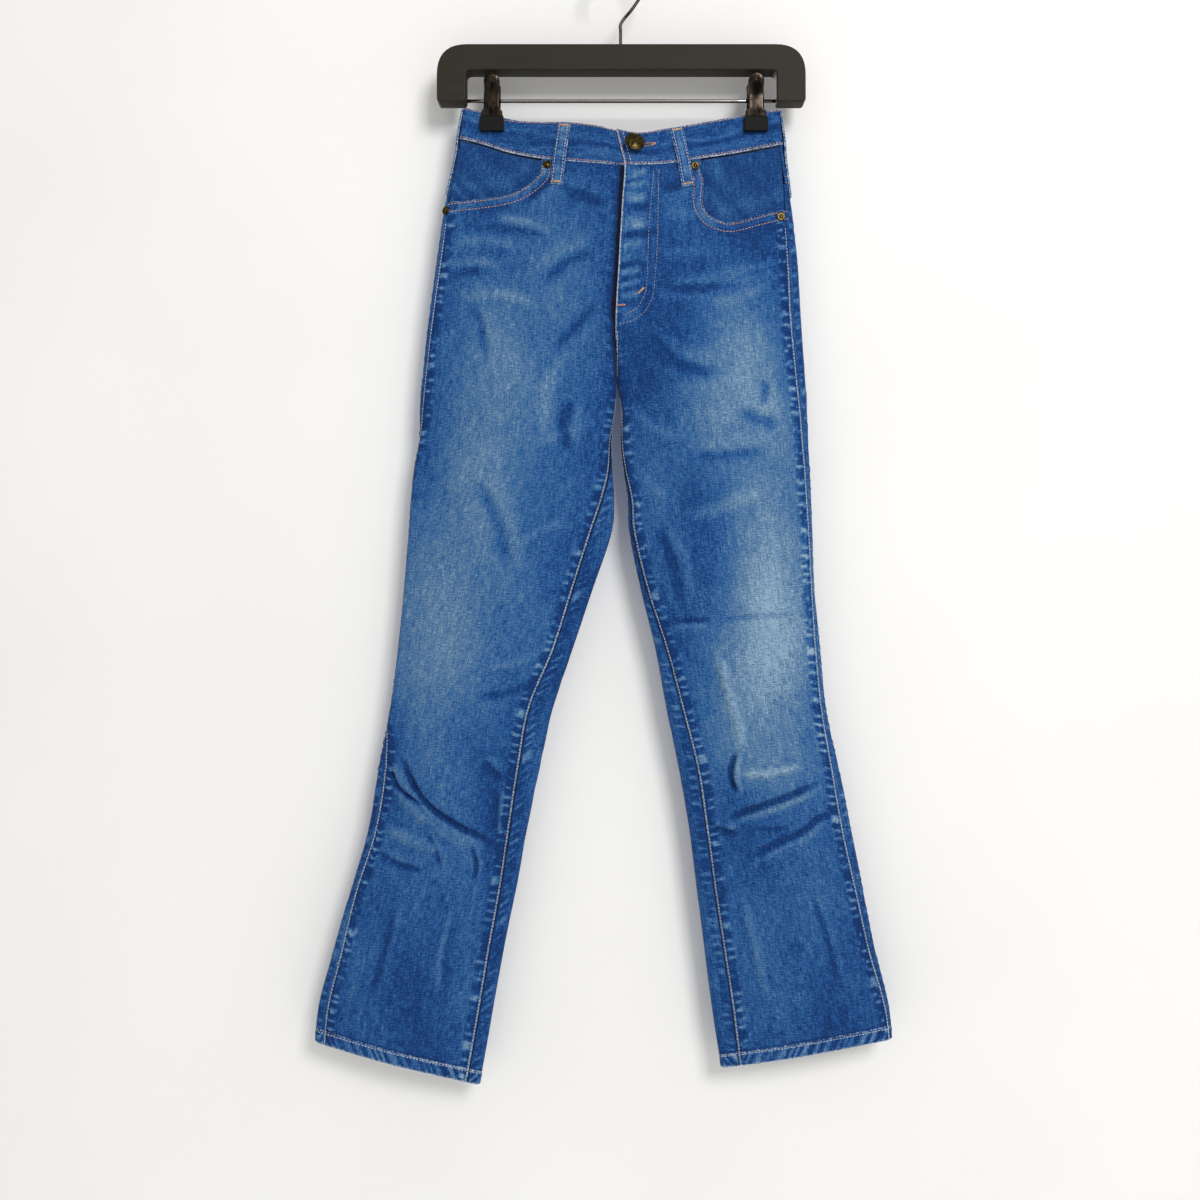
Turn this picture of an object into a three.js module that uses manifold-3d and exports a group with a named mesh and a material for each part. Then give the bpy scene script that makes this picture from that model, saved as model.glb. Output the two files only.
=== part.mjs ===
// Flared jeans of stretch denim, hanging by the waistband from a clip hanger.
// Millimetres, +Z up. The front faces -Y and the wearer's right leg is on the -X side.
// The origin is the inner top of the hanger's hook, where a wall hook or a rail holds it.

import * as THREE from "three";
import { mergeVertices } from "three/addons/utils/BufferGeometryUtils.js";
import Module from "manifold-3d";

// Cloth thicknesses and clearances
const SEAM_GAP = 0.3;
const CLOTH = 1.2;
const HEM_CLOTH = 2.6;
const HEM_HEIGHT = 14;
const BAND_PROUD = 0.8;
const BAND_DEEP = 1.8;
const PATCH_LIFT = 0.75;
const PATCH_CLOTH = 1.2;
const FLAP_LIFT = 1.1;
const FLAP_WIDTH = 9;
const FLAP_END = { full: 1.68, flat: 1.76 };

// Millimetres that one turn covers on a leg panel, at the waist and at the fly, and heights of
// the rise from waist seam to fork and of the waistband: they make gaps into turns and levels
const TURN_WIDTH = { leg: 190, waist: 160, fly: 170 };
const RISE_HEIGHT = 210;
const BAND_HEIGHT = 35;

// Side of the body where a level's height is read for its outer edge
const SIDE_X = { right: -160, left: 162 };

// Heights of the leg fork and of the hem corners
const CROTCH_Z = -421;
const HEM_Z = {
  right: { outer: -1078, inner: -1121 },
  left: { outer: -1075, inner: -1104 },
};

// Levels run down the garment: 0 waist edge, 1 waist seam, 2 crotch, 3 hem edge
const LEVEL = { top: 0, seam: 1, crotch: 2, hem: 3 };

// Top edge and lower seam of the waistband on the front and on the back, across the body
const WAIST_LINE = [
  { x: -165, top: -143, seam: -175, backTop: -143, backSeam: -175 },
  { x: -136, top: -150, seam: -182.6, backTop: -149, backSeam: -184 },
  { x: -112, top: -157.5, seam: -190.4, backTop: -155, backSeam: -191 },
  { x: -80, top: -161, seam: -198, backTop: -160, backSeam: -197 },
  { x: -50, top: -163.5, seam: -203, backTop: -164, backSeam: -201 },
  { x: -6, top: -171.5, seam: -208, backTop: -168, backSeam: -205 },
  { x: 18, top: -175.5, seam: -208, backTop: -168, backSeam: -205 },
  { x: 47, top: -170, seam: -205.5, backTop: -165, backSeam: -202 },
  { x: 87, top: -160.6, seam: -197, backTop: -159, backSeam: -196 },
  { x: 123, top: -153, seam: -190, backTop: -152, backSeam: -189 },
  { x: 165, top: -146, seam: -181.5, backTop: -146, backSeam: -181.5 },
];

// Centre line of the front: the flap edge of the fly, then the centre seam
const CENTRE_LINE = [
  { z: -421, x: -3 },
  { z: -366, x: -4.8 },
  { z: -300, x: -1.5 },
  { z: -240, x: 2 },
  { z: -208, x: 4 },
  { z: -190, x: 0 },
  { z: -172, x: -4 },
  { z: -140, x: -4 },
];

// Each leg's edges: outer and inner x, and how far in front of each edge its seam lies
// (a negative side value puts the side seam on the back)
const LEG_EDGE = {
  right: [
    { z: -1121, outer: -306, inner: -140, side: 9, inseam: 13 },
    { z: -1047, outer: -302, inner: -127, side: 9, inseam: 13 },
    { z: -987, outer: -286, inner: -116, side: 7.5, inseam: 14 },
    { z: -927, outer: -269, inner: -104, side: 5, inseam: 15 },
    { z: -867, outer: -252, inner: -93, side: 7, inseam: 17 },
    { z: -807, outer: -242, inner: -81, side: 7, inseam: 20 },
    { z: -747, outer: -230, inner: -67, side: -3, inseam: 23 },
    { z: -687, outer: -222, inner: -47, side: -6, inseam: 19 },
    { z: -627, outer: -216, inner: -27, side: -7, inseam: 20 },
    { z: -567, outer: -211, inner: -8, side: -6, inseam: 20 },
    { z: -537, outer: -209, inner: -6, side: -4, inseam: 12 },
    { z: -507, outer: -206, inner: -8, side: -2, inseam: 3 },
    { z: -477, outer: -201, inner: -9, side: 0, inseam: 0.5 },
    { z: -447, outer: -200, inner: -5, side: 2, inseam: 0 },
    { z: -421, outer: -198, inner: -3.3, side: 2.5, inseam: 0 },
    { z: -357, outer: -191, inner: -3.3, side: 3, inseam: 0 },
    { z: -297, outer: -182.5, inner: 0, side: 3, inseam: 0 },
    { z: -237, outer: -173, inner: 0, side: 2, inseam: 0 },
    { z: -189, outer: -162, inner: 0, side: 1, inseam: 0 },
    { z: -140, outer: -155, inner: 0, side: 0, inseam: 0 },
  ],
  left: [
    { z: -1104, outer: 272, inner: 101, side: 2, inseam: 18 },
    { z: -1047, outer: 269, inner: 92, side: 3, inseam: 20 },
    { z: -987, outer: 255, inner: 85, side: 5.5, inseam: 18 },
    { z: -927, outer: 243, inner: 77, side: 7, inseam: 17 },
    { z: -867, outer: 231, inner: 69, side: 8.5, inseam: 17 },
    { z: -807, outer: 219, inner: 59, side: 7, inseam: 18 },
    { z: -747, outer: 206, inner: 47, side: 4, inseam: 15 },
    { z: -687, outer: 200, inner: 36, side: 4, inseam: 10 },
    { z: -627, outer: 194.5, inner: 21, side: 2.5, inseam: 6 },
    { z: -567, outer: 192, inner: 9, side: 3, inseam: 4 },
    { z: -537, outer: 191, inner: 8, side: 4, inseam: 3 },
    { z: -507, outer: 190, inner: 4, side: 5, inseam: 1 },
    { z: -477, outer: 188.5, inner: 1, side: 6, inseam: 0.5 },
    { z: -447, outer: 187.5, inner: 1.5, side: 7.5, inseam: 0 },
    { z: -421, outer: 186, inner: -2.7, side: 9, inseam: 0 },
    { z: -357, outer: 181, inner: -2.7, side: 10, inseam: 0 },
    { z: -297, outer: 177, inner: 0, side: 9, inseam: 0 },
    { z: -237, outer: 170, inner: 0, side: 6, inseam: 0 },
    { z: -189, outer: 163, inner: 0, side: 3, inseam: 0 },
    { z: -140, outer: 158, inner: 0, side: 1, inseam: 0 },
  ],
};

// Half depths of the hollow in front of and behind the middle plane, and the edge fold's radius
const DEPTH = [
  { z: -1121, front: 11, back: 12, fold: 4.2 },
  { z: -1000, front: 14, back: 15, fold: 4.4 },
  { z: -860, front: 16, back: 17, fold: 4.6 },
  { z: -800, front: 18, back: 16, fold: 4.6 },
  { z: -700, front: 17, back: 18, fold: 4.6 },
  { z: -560, front: 20, back: 22, fold: 4.6 },
  { z: -421, front: 22, back: 26, fold: 4.6 },
  { z: -330, front: 22, back: 29, fold: 4.6 },
  { z: -260, front: 21, back: 26, fold: 4.2 },
  { z: -205, front: 20, back: 21, fold: 3.6 },
  { z: -181, front: 19, back: 19, fold: 3.1 },
  { z: -170, front: 18, back: 18, fold: 2.6 },
  { z: -140, front: 17, back: 17, fold: 2.5 },
];

// Soft folds: from one end to the other, how wide and how high (a trough is negative)
const FOLDS = [
  { side: "front", x1: -232, z1: -795, x2: -196, z2: -850, width: 8, height: -4 },
  { side: "front", x1: -219, z1: -793, x2: -130, z2: -884, width: 7, height: -5 },
  { side: "front", x1: -222, z1: -812, x2: -140, z2: -868, width: 9, height: 3 },
  { side: "front", x1: -119, z1: -824, x2: -121, z2: -872, width: 6, height: 3 },
  { side: "front", x1: -236, z1: -862, x2: -170, z2: -884, width: 9, height: 2.5 },
  { side: "front", x1: 52, z1: -655, x2: 180, z2: -646, width: 7, height: -2.5 },
  { side: "front", x1: 96, z1: -690, x2: 122, z2: -790, width: 9, height: 3.5 },
  { side: "front", x1: 116, z1: -786, x2: 114, z2: -828, width: 6, height: -5 },
  { side: "front", x1: 120, z1: -800, x2: 186, z2: -806, width: 7, height: 3 },
  { side: "front", x1: 110, z1: -852, x2: 202, z2: -814, width: 7, height: -4 },
  { side: "front", x1: 127, z1: -892, x2: 218, z2: -844, width: 8, height: -3 },
  { side: "front", x1: 88, z1: -860, x2: 116, z2: -869, width: 6, height: -3 },
  { side: "front", x1: 60, z1: -500, x2: 156, z2: -452, width: 9, height: 2 },
  { side: "front", x1: -50, z1: -436, x2: -55, z2: -486, width: 7, height: -2.5 },
  { side: "front", x1: 56, z1: -398, x2: 96, z2: -412, width: 8, height: -2 },
  { side: "back", x1: -232, z1: -790, x2: -130, z2: -838, width: 9, height: -4 },
  { side: "back", x1: -228, z1: -820, x2: -150, z2: -862, width: 9, height: 3 },
  { side: "back", x1: 70, z1: -832, x2: 196, z2: -800, width: 9, height: -4 },
  { side: "back", x1: 84, z1: -866, x2: 190, z2: -838, width: 9, height: 3 },
  { side: "back", x1: -150, z1: -440, x2: -40, z2: -470, width: 10, height: -3 },
  { side: "back", x1: 40, z1: -470, x2: 150, z2: -436, width: 10, height: -3 },
];

// Front pocket mouths: the edge that the front panel is cut to, waist seam to side seam
const POCKET_MOUTH = {
  right: [[-78, -150], [-78.5, -205], [-83, -217], [-97, -228], [-111, -233.7], [-135, -237.5],
    [-169, -240.5], [-195, -242]],
  left: [[79.5, -150], [79.8, -207], [82.4, -218], [82.4, -231], [81.6, -243.5], [86.5, -254.5],
    [95.7, -260.2], [110, -262.3], [134.5, -255.5], [157, -249.6], [195, -243]],
};

// The cut for a mouth runs past the front of the hips and just behind the side's round edge
const POCKET_CUT = { fromY: -60, toY: 14, outside: 200 };

// Belt loops: two on the front and one at the centre back lie at an x, two wrap the side folds
const LOOP = {
  width: 12.5,
  cloth: 1.6,
  top: 0.03,
  bandShare: 0.6,
  step: 1.005,
  stepEnd: 1.05,
  onBand: 1.2,
  onPanel: 0.5,
  stand: 1.1,
  rows: 11,
  flatColumns: 3,
  roundColumns: 7,
  sideX: 165,
};
const STRAIGHT_LOOPS = [
  { name: "belt_loop_front_right", back: false, topX: -55, footX: -63.5, foot: -226 },
  { name: "belt_loop_front_left", back: false, topX: 55, footX: 67.5, foot: -227.5 },
  { name: "belt_loop_back", back: true, topX: -1, footX: 0, foot: -226 },
];
const SIDE_LOOPS = [
  { name: "belt_loop_side_right", leg: "right", foot: -233 },
  { name: "belt_loop_side_left", leg: "left", foot: -235 },
];
const SIDE_LOOP_TURNS = { front: 0.015, back: -0.1 };

// Yoke seam as shares of the rise, and the back pockets
const YOKE_DROP = { side: 0.17, centre: 0.3 };
const BACK_POCKET = {
  inner: 24,
  outer: 146,
  taper: 9,
  topInner: -277,
  topOuter: -267,
  foot: -388,
  point: 16,
  rows: 13,
  columns: 10,
};

// Facings in the pocket mouths, the fly shield and the zip tape, all under the front panels
const FACING = {
  lift: -1.4,
  cloth: 1,
  top: 1.005,
  inward: 14,
  outward: 170,
  foot: { right: -254, left: -276 },
  rows: 7,
  columns: 10,
};
const ZIP = { lift: -1.4, cloth: 1, right: 12, left: 12, foot: 1.68 };
const SHIELD = { lift: -2.7, cloth: 1.2, right: 10, left: 30, foot: 1.7 };
const STRIP = { top: 1.01, rows: 7, columns: 6 };
const UNDERLAP = { lift: -2.1, reach: 34, stepFrom: 0.905, stepTo: 0.955 };

// Button and rivets
const BUTTON = {
  x: 13.8,
  z: -187.5,
  radius: 10,
  rim: 1.4,
  dome: 2,
  tilt: 0.3,
  seat: 0.35,
  sides: 28,
};
const RIVET = { radius: 4.4, rim: 0.5, dome: 1.1, seat: 0.35, sides: 18 };
const RIVETS = [
  { name: "rivet_right_top", leg: "right", x: -72.5, z: -205.5 },
  { name: "rivet_right_side", leg: "right", x: -173, z: -249 },
  { name: "rivet_left_top", leg: "left", x: 74.2, z: -206.5 },
  { name: "rivet_left_side", leg: "left", x: 160, z: -255.5 },
];

// Hanger: a flat rectangular arch with a wire hook, a rod and two sliding clips
const HANGER = {
  centreX: 1.1,
  halfWidth: 183.3,
  topZ: -84.8,
  barHeight: 25.8,
  endHeight: 57.2,
  endWidth: 29,
  thickness: 20,
  corner: 30,
  footCorner: 3,
  innerCorner: 4,
  arcs: 8,
};
const HOOK = {
  wire: 1.6,
  radius: 24,
  centreX: -0.5,
  stemX: 0.5,
  startAngle: -40,
  endAngle: 205,
  stepAngle: 17.5,
  bendZ: -60,
  arcs: 4,
  steps: 40,
};
const ROD = { radius: 1.75, z: -138.2, hole: 2.1, sides: 14 };
const CLIP = {
  width: 16,
  footWidth: 21,
  topZ: -106.4,
  flareZ: -147,
  footZ: -155.6,
  plate: 1.3,
  topY: 12.3,
  hubY: 6.4,
  footY: 5.2,
  hubHalf: 4.4,
};
const PAD = { width: 24, topZ: -155.9, footZ: -170.6, inner: 3.8, outer: 8.6, corner: 1.6, arcs: 3 };
const CLIPS = [
  { name: "clip_right", x: -127.7 },
  { name: "clip_left", x: 135.2 },
];

// Materials
const DENIM = { color: 0x3f6ea3, roughness: 0.92, metalness: 0 };
const DENIM_DARK = { color: 0x2c5689, roughness: 0.92, metalness: 0 };
const ANTIQUE_BRASS = { color: 0x4f4325, roughness: 0.42, metalness: 0.9 };
const TAPE = { color: 0x23324a, roughness: 0.9, metalness: 0 };
const HANGER_WOOD = { color: 0x3e3c36, roughness: 0.5, metalness: 0 };
const STEEL = { color: 0x8d8a86, roughness: 0.3, metalness: 1 };
const GUNMETAL = { color: 0x3a3430, roughness: 0.22, metalness: 1 };
const RUBBER = { color: 0x0b0b0c, roughness: 0.7, metalness: 0 };

const mix = (a, b, w) => a + (b - a) * w;
const clamp = (value, low, high) => Math.min(high, Math.max(low, value));

function smooth(from, to, value) {
  const w = clamp((value - from) / (to - from), 0, 1);
  return w * w * (3 - 2 * w);
}

// Smooth curve through a table's column (Catmull-Rom with the table's own spacing)
function column(table, key, name, value) {
  const last = table.length - 1;
  const v = clamp(value, table[0][key], table[last][key]);
  let i = 0;
  while (i < last - 1 && v > table[i + 1][key]) {
    i += 1;
  }
  const span = table[i + 1][key] - table[i][key];
  const w = (v - table[i][key]) / span;
  const slope = (k) => {
    const low = Math.max(k - 1, 0);
    const high = Math.min(k + 1, last);
    return (table[high][name] - table[low][name]) / (table[high][key] - table[low][key]);
  };
  const m0 = slope(i) * span;
  const m1 = slope(i + 1) * span;
  const a = table[i][name];
  const b = table[i + 1][name];
  const w2 = w * w;
  const w3 = w2 * w;
  return (2 * w3 - 3 * w2 + 1) * a + (w3 - 2 * w2 + w) * m0 + (3 * w2 - 2 * w3) * b + (w3 - w2) * m1;
}

const edge = (leg, name, z) => column(LEG_EDGE[leg], "z", name, z);
const depth = (name, z) => column(DEPTH, "z", name, z);
const centreX = (z) => column(CENTRE_LINE, "z", "x", z);

// Height of a level at x, above the fork, on the front or the back
function riseZ(level, x, back) {
  const top = column(WAIST_LINE, "x", back ? "backTop" : "top", x);
  const seam = column(WAIST_LINE, "x", back ? "backSeam" : "seam", x);
  return level <= LEVEL.seam ? mix(top, seam, level) : mix(seam, CROTCH_Z, level - LEVEL.seam);
}

// Share of a fold's length over which each of its ends fades out
const FOLD_FADE = 0.3;

// How far a fold lifts the cloth at a point: a soft bar that fades at both ends
function foldHeight(side, x, z) {
  let sum = 0;
  for (const fold of FOLDS) {
    if (fold.side === side) {
      const dx = fold.x2 - fold.x1;
      const dz = fold.z2 - fold.z1;
      const length = Math.hypot(dx, dz);
      const along = ((x - fold.x1) * dx + (z - fold.z1) * dz) / length;
      const across = ((z - fold.z1) * dx - (x - fold.x1) * dz) / length;
      const from = smooth(-fold.width, length * FOLD_FADE, along);
      const to = smooth(length + fold.width, length * (1 - FOLD_FADE), along);
      sum += fold.height * from * to * Math.exp(-((across / fold.width) ** 2));
    }
  }
  return sum;
}

// Share of a section's turn that the round edge fold takes
const FOLD_SHARE = 0.05;

// Across a section from an edge: distance from that edge and rise of its round fold
function edgeFold(turn, radius, width) {
  if (turn < FOLD_SHARE) {
    const angle = (Math.PI / 2) * (turn / FOLD_SHARE);
    return { in: radius * (1 - Math.cos(angle)), rise: radius * Math.sin(angle) };
  }
  return { in: radius + (width - radius) * ((turn - FOLD_SHARE) / (1 - FOLD_SHARE)), rise: radius };
}

// Bulge of the waist between the clips, which pinch the front and back together
function waistBulge(x) {
  const reach = x < HANGER.centreX ? CLIPS[0].x + CLIP.width / 2 : CLIPS[1].x - CLIP.width / 2;
  const share = clamp(x / reach, 0, 1);
  return 0.5 + 0.5 * Math.cos(Math.PI * share);
}

// Point of the outer cloth surface. Turn 0 is the outer edge, 1 the centre or inner edge by way
// of the front, -1 the same by way of the back; past 1 the closed leg carries on round.
function skin(leg, level, turn) {
  const legged = level >= LEVEL.crotch;
  let t = legged ? turn : clamp(turn, -1, 1);
  t = t > 1 ? t - 2 : t;
  t = t < -1 ? t + 2 : t;
  const back = t < 0;
  const side = back ? "back" : "front";
  const sign = back ? 1 : -1;
  const share = Math.abs(t);
  const direction = leg === "right" ? 1 : -1;
  if (!legged) {
    const edgeZ = riseZ(level, SIDE_X[leg], back);
    const outerX = edge(leg, "outer", edgeZ);
    const otherX = edge(leg === "right" ? "left" : "right", "outer", edgeZ);
    const midZ = riseZ(level, 0, back);
    const innerX = centreX(midZ);
    const half = Math.abs(innerX - outerX);
    const radius = depth("fold", edgeZ);
    const wide = edgeFold(share, radius, half);
    const bodyX = outerX + direction * wide.in;
    const join = smooth(1.74, 2, level);
    const legRound = legSection(share, radius, half);
    const x = mix(bodyX, outerX + direction * legRound.in, join);
    const z = riseZ(level, x, back);
    const across = Math.abs((bodyX - outerX) / (otherX - outerX));
    const reach = depth(side, z) - radius;
    const hips = Math.sin(Math.PI * across);
    const waist = smooth(1.6, 0.75, level);
    const bodyY = wide.rise + reach * mix(hips, waistBulge(bodyX), waist);
    const legY = legRound.rise + reach * Math.sin(Math.PI * (legRound.in / half));
    const lift = foldHeight(side, x, z);
    return new THREE.Vector3(x, sign * (mix(bodyY, legY, join) + lift), z);
  }
  const down = level - LEVEL.crotch;
  const outerZ = mix(CROTCH_Z, HEM_Z[leg].outer, down);
  const innerZ = mix(CROTCH_Z, HEM_Z[leg].inner, down);
  const outerX = edge(leg, "outer", outerZ);
  const innerX = edge(leg, "inner", innerZ);
  const width = Math.abs(innerX - outerX);
  const radius = depth("fold", outerZ);
  const round = legSection(share, radius, width);
  const across = round.in / width;
  const x = outerX + direction * round.in;
  const z = mix(outerZ, innerZ, across);
  const bulge = (depth(side, z) - radius) * Math.sin(Math.PI * across);
  return new THREE.Vector3(x, sign * (round.rise + bulge + foldHeight(side, x, z)), z);
}

// Leg section from the outer edge to the inner one, with a round fold at both
function legSection(share, radius, width) {
  const near = edgeFold(Math.min(share, 1 - share) * 2, radius, width / 2);
  return { in: share < 0.5 ? near.in : width - near.in, rise: near.rise };
}

// Step in level and turn for the surface's differences
const STEP = 0.004;

// Outward normal of the surface, from differences along and across it
function normal(leg, level, turn) {
  const above = level < LEVEL.crotch;
  const first = above ? LEVEL.top : LEVEL.crotch;
  const last = above ? LEVEL.crotch - 1e-6 : LEVEL.hem;
  const low = Math.max(level - STEP, first);
  const high = Math.min(level + STEP, last);
  const down = skin(leg, high, turn).sub(skin(leg, low, turn));
  const backOnly = above && turn < 0;
  const turnLow = above ? Math.max(turn - STEP, backOnly ? -1 : -0.5) : turn - STEP;
  const turnHigh = above ? Math.min(turn + STEP, 1) : turn + STEP;
  const round = skin(leg, level, turnHigh).sub(skin(leg, level, turnLow));
  const out = down.cross(round).normalize();
  return leg === "right" ? out : out.negate();
}

const lifted = (leg, level, turn, lift) =>
  skin(leg, level, turn).addScaledVector(normal(leg, level, turn), lift);

// Turn at which the surface lies a distance in front of the outer edge (negative: behind)
function sideTurn(leg, level) {
  const z = level < LEVEL.crotch
    ? riseZ(level, SIDE_X[leg], false)
    : mix(CROTCH_Z, HEM_Z[leg].outer, level - LEVEL.crotch);
  const offset = edge(leg, "side", z);
  return turnAt(leg, level, 0, Math.sign(offset) || 1, Math.abs(offset));
}

function inseamTurn(leg, level) {
  if (level <= LEVEL.crotch) {
    return 1;
  }
  const z = mix(CROTCH_Z, HEM_Z[leg].inner, level - LEVEL.crotch);
  return turnAt(leg, level, 1, -1, Math.max(edge(leg, "inseam", z), 0));
}

// Turn where the surface has gone a distance across (in x) from where it started
function turnAt(leg, level, start, step, distance) {
  const from = skin(leg, level, start).x;
  let low = 0;
  let high = 0.45;
  for (let i = 0; i < 24; i += 1) {
    const middle = (low + high) / 2;
    const gone = Math.abs(skin(leg, level, start + step * middle).x - from);
    low = gone < distance ? middle : low;
    high = gone < distance ? high : middle;
  }
  return start + step * (low + high) / 2;
}

// Turn where the surface of a level crosses a given x
function turnOfX(leg, level, x, back) {
  let low = 0;
  let high = 1;
  const sign = back ? -1 : 1;
  for (let i = 0; i < 26; i += 1) {
    const middle = (low + high) / 2;
    const here = skin(leg, level, sign * middle).x;
    const before = leg === "right" ? here < x : here > x;
    low = before ? middle : low;
    high = before ? high : middle;
  }
  return sign * (low + high) / 2;
}

// Level and turn of the surface point at x and z above the fork
function placeOf(leg, x, z, back) {
  let low = 0;
  let high = LEVEL.crotch - 1e-4;
  for (let i = 0; i < 26; i += 1) {
    const middle = (low + high) / 2;
    const here = riseZ(middle, x, back);
    low = here > z ? middle : low;
    high = here > z ? high : middle;
  }
  const level = (low + high) / 2;
  return { level, turn: turnOfX(leg, level, x, back) };
}

// Moves a turn along the section by a distance in millimetres
function shifted(leg, level, turn, distance) {
  const step = 0.001;
  const speed = skin(leg, level, turn + step).distanceTo(skin(leg, level, turn - step)) / (2 * step);
  return turn + distance / Math.max(speed, 20);
}

// Closed wall between two sheets of points, each rows by columns
function wall(rows, columns, outer, inner) {
  const positions = [];
  const index = [];
  const at = (sheet, i, j) => sheet * rows * columns + i * columns + j;
  for (const sheet of [outer, inner]) {
    for (let i = 0; i < rows; i += 1) {
      for (let j = 0; j < columns; j += 1) {
        const p = sheet(i, j);
        positions.push(p.x, p.y, p.z);
      }
    }
  }
  const quad = (a, b, c, d) => index.push(a, b, c, a, c, d);
  for (let i = 0; i + 1 < rows; i += 1) {
    for (let j = 0; j + 1 < columns; j += 1) {
      quad(at(0, i, j), at(0, i + 1, j), at(0, i + 1, j + 1), at(0, i, j + 1));
      quad(at(1, i, j), at(1, i, j + 1), at(1, i + 1, j + 1), at(1, i + 1, j));
    }
  }
  for (let i = 0; i + 1 < rows; i += 1) {
    quad(at(0, i, 0), at(1, i, 0), at(1, i + 1, 0), at(0, i + 1, 0));
    quad(at(0, i, columns - 1), at(0, i + 1, columns - 1), at(1, i + 1, columns - 1), at(1, i, columns - 1));
  }
  for (let j = 0; j + 1 < columns; j += 1) {
    quad(at(0, 0, j), at(0, 0, j + 1), at(1, 0, j + 1), at(1, 0, j));
    quad(at(0, rows - 1, j), at(1, rows - 1, j), at(1, rows - 1, j + 1), at(0, rows - 1, j + 1));
  }
  return outward(positions, index);
}

// Vertices closer than this are one
const MERGE = 1e-4;

// Geometry from points and triangles, turned so that its faces point out
function outward(positions, index) {
  const point = (k) => new THREE.Vector3().fromArray(positions, index[k] * 3);
  let volume = 0;
  for (let k = 0; k < index.length; k += 3) {
    volume += point(k).dot(point(k + 1).cross(point(k + 2)));
  }
  const order = volume < 0 ? index.slice().reverse() : index;
  const geometry = new THREE.BufferGeometry();
  geometry.setAttribute("position", new THREE.Float32BufferAttribute(positions, 3));
  geometry.setIndex(order);
  return geometry;
}

// Closed geometry with shared vertices from one of three.js's own, faces out
function closed(geometry) {
  geometry.deleteAttribute("normal");
  geometry.deleteAttribute("uv");
  const merged = mergeVertices(geometry, MERGE);
  return outward(Array.from(merged.attributes.position.array), Array.from(merged.index.array));
}

const manifold = await Module();
manifold.setup();

function solidOf(geometry) {
  const merged = mergeVertices(geometry, MERGE);
  return new manifold.Manifold(new manifold.Mesh({
    numProp: 3,
    vertProperties: Float32Array.from(merged.attributes.position.array),
    triVerts: Uint32Array.from(merged.index.array),
  }));
}

function geometryOf(solid) {
  const mesh = solid.getMesh();
  const geometry = new THREE.BufferGeometry();
  geometry.setAttribute("position", new THREE.Float32BufferAttribute(mesh.vertProperties, 3));
  geometry.setIndex(Array.from(mesh.triVerts));
  return geometry;
}

// A flat outline in x and z, made thick along y
function plateXZ(shape, fromY, toY, curveSegments = 6) {
  const settings = { depth: toY - fromY, bevelEnabled: false, curveSegments };
  const geometry = new THREE.ExtrudeGeometry(shape, settings);
  geometry.rotateX(Math.PI / 2);
  geometry.translate(0, toY, 0);
  return geometry;
}

const group = new THREE.Group();

function add(name, geometry, finish) {
  const mesh = new THREE.Mesh(geometry, new THREE.MeshStandardMaterial(finish));
  mesh.name = name;
  group.add(mesh);
  return mesh;
}

// Rows of levels: close together where the knee folds are, and at the hem's turned edge
const RISE_ROWS = 13;
const LEG_ROWS = [0.035, 0.09, 0.16, 0.24, 0.31, 0.37, 0.43, 0.48, 0.52, 0.545, 0.57, 0.592, 0.614, 0.636,
  0.658, 0.68, 0.705, 0.74, 0.79, 0.85, 0.91, 0.96];

function panelLevels() {
  const levels = [];
  for (let k = 0; k < RISE_ROWS; k += 1) {
    levels.push(mix(LEVEL.seam, LEVEL.crotch, k / RISE_ROWS));
  }
  levels.push(LEVEL.crotch);
  for (const row of LEG_ROWS) {
    levels.push(LEVEL.crotch + row);
  }
  const hemShare = HEM_HEIGHT / (CROTCH_Z - HEM_Z.left.outer);
  levels.push(LEVEL.hem - hemShare * 1.06);
  levels.push(LEVEL.hem - hemShare);
  levels.push(LEVEL.hem);
  return levels;
}

const PANEL_LEVELS = panelLevels();
const HEM_ROW = PANEL_LEVELS.length - 2;

// Shares across a panel: close together at both seams, where the cloth folds over
const FRONT_COLUMNS = [0, 0.025, 0.055, 0.11, 0.2, 0.3, 0.4, 0.5, 0.6, 0.7, 0.8, 0.88, 0.935, 0.97, 1];
const BACK_COLUMNS = [0, 0.025, 0.06, 0.15, 0.28, 0.42, 0.56, 0.7, 0.82, 0.91, 0.95, 0.975, 1];

// Least step in level from one row to the next below a panel's slanted top edge
const ROW_STEP = 0.01;

// One leg panel as a wall, from its first level to the hem
function legPanel(leg, back, topLevel, lift) {
  const levels = PANEL_LEVELS;
  const shares = back ? BACK_COLUMNS : FRONT_COLUMNS;
  const place = (i, j) => {
    const level = levels[i];
    const low = sideTurn(leg, level);
    const high = inseamTurn(leg, level);
    const start = back ? shifted(leg, level, low, -SEAM_GAP / 2) : shifted(leg, level, low, SEAM_GAP / 2);
    const gap = SEAM_GAP / 2 / TURN_WIDTH.leg;
    const turn = mix(start, back ? high - 2 + gap : high - gap, shares[j]);
    const top = topLevel(leg, turn);
    return { level: i === 0 ? top : Math.max(level, top + ROW_STEP * i), turn };
  };
  const outer = (i, j) => {
    const { level, turn } = place(i, j);
    return lifted(leg, level, turn, lift(level, turn));
  };
  const inner = (i, j) => {
    const { level, turn } = place(i, j);
    const deep = i >= HEM_ROW ? HEM_CLOTH : CLOTH;
    return lifted(leg, level, turn, lift(level, turn) - deep);
  };
  return wall(levels.length, shares.length, outer, inner);
}

const seamLevel = () => LEVEL.seam + SEAM_GAP / RISE_HEIGHT;

// Yoke seam: level at each turn of the back, lower at the centre
const yokeLevel = (leg, turn) =>
  LEVEL.seam + mix(YOKE_DROP.side, YOKE_DROP.centre, clamp(-turn, 0, 1));

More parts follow.
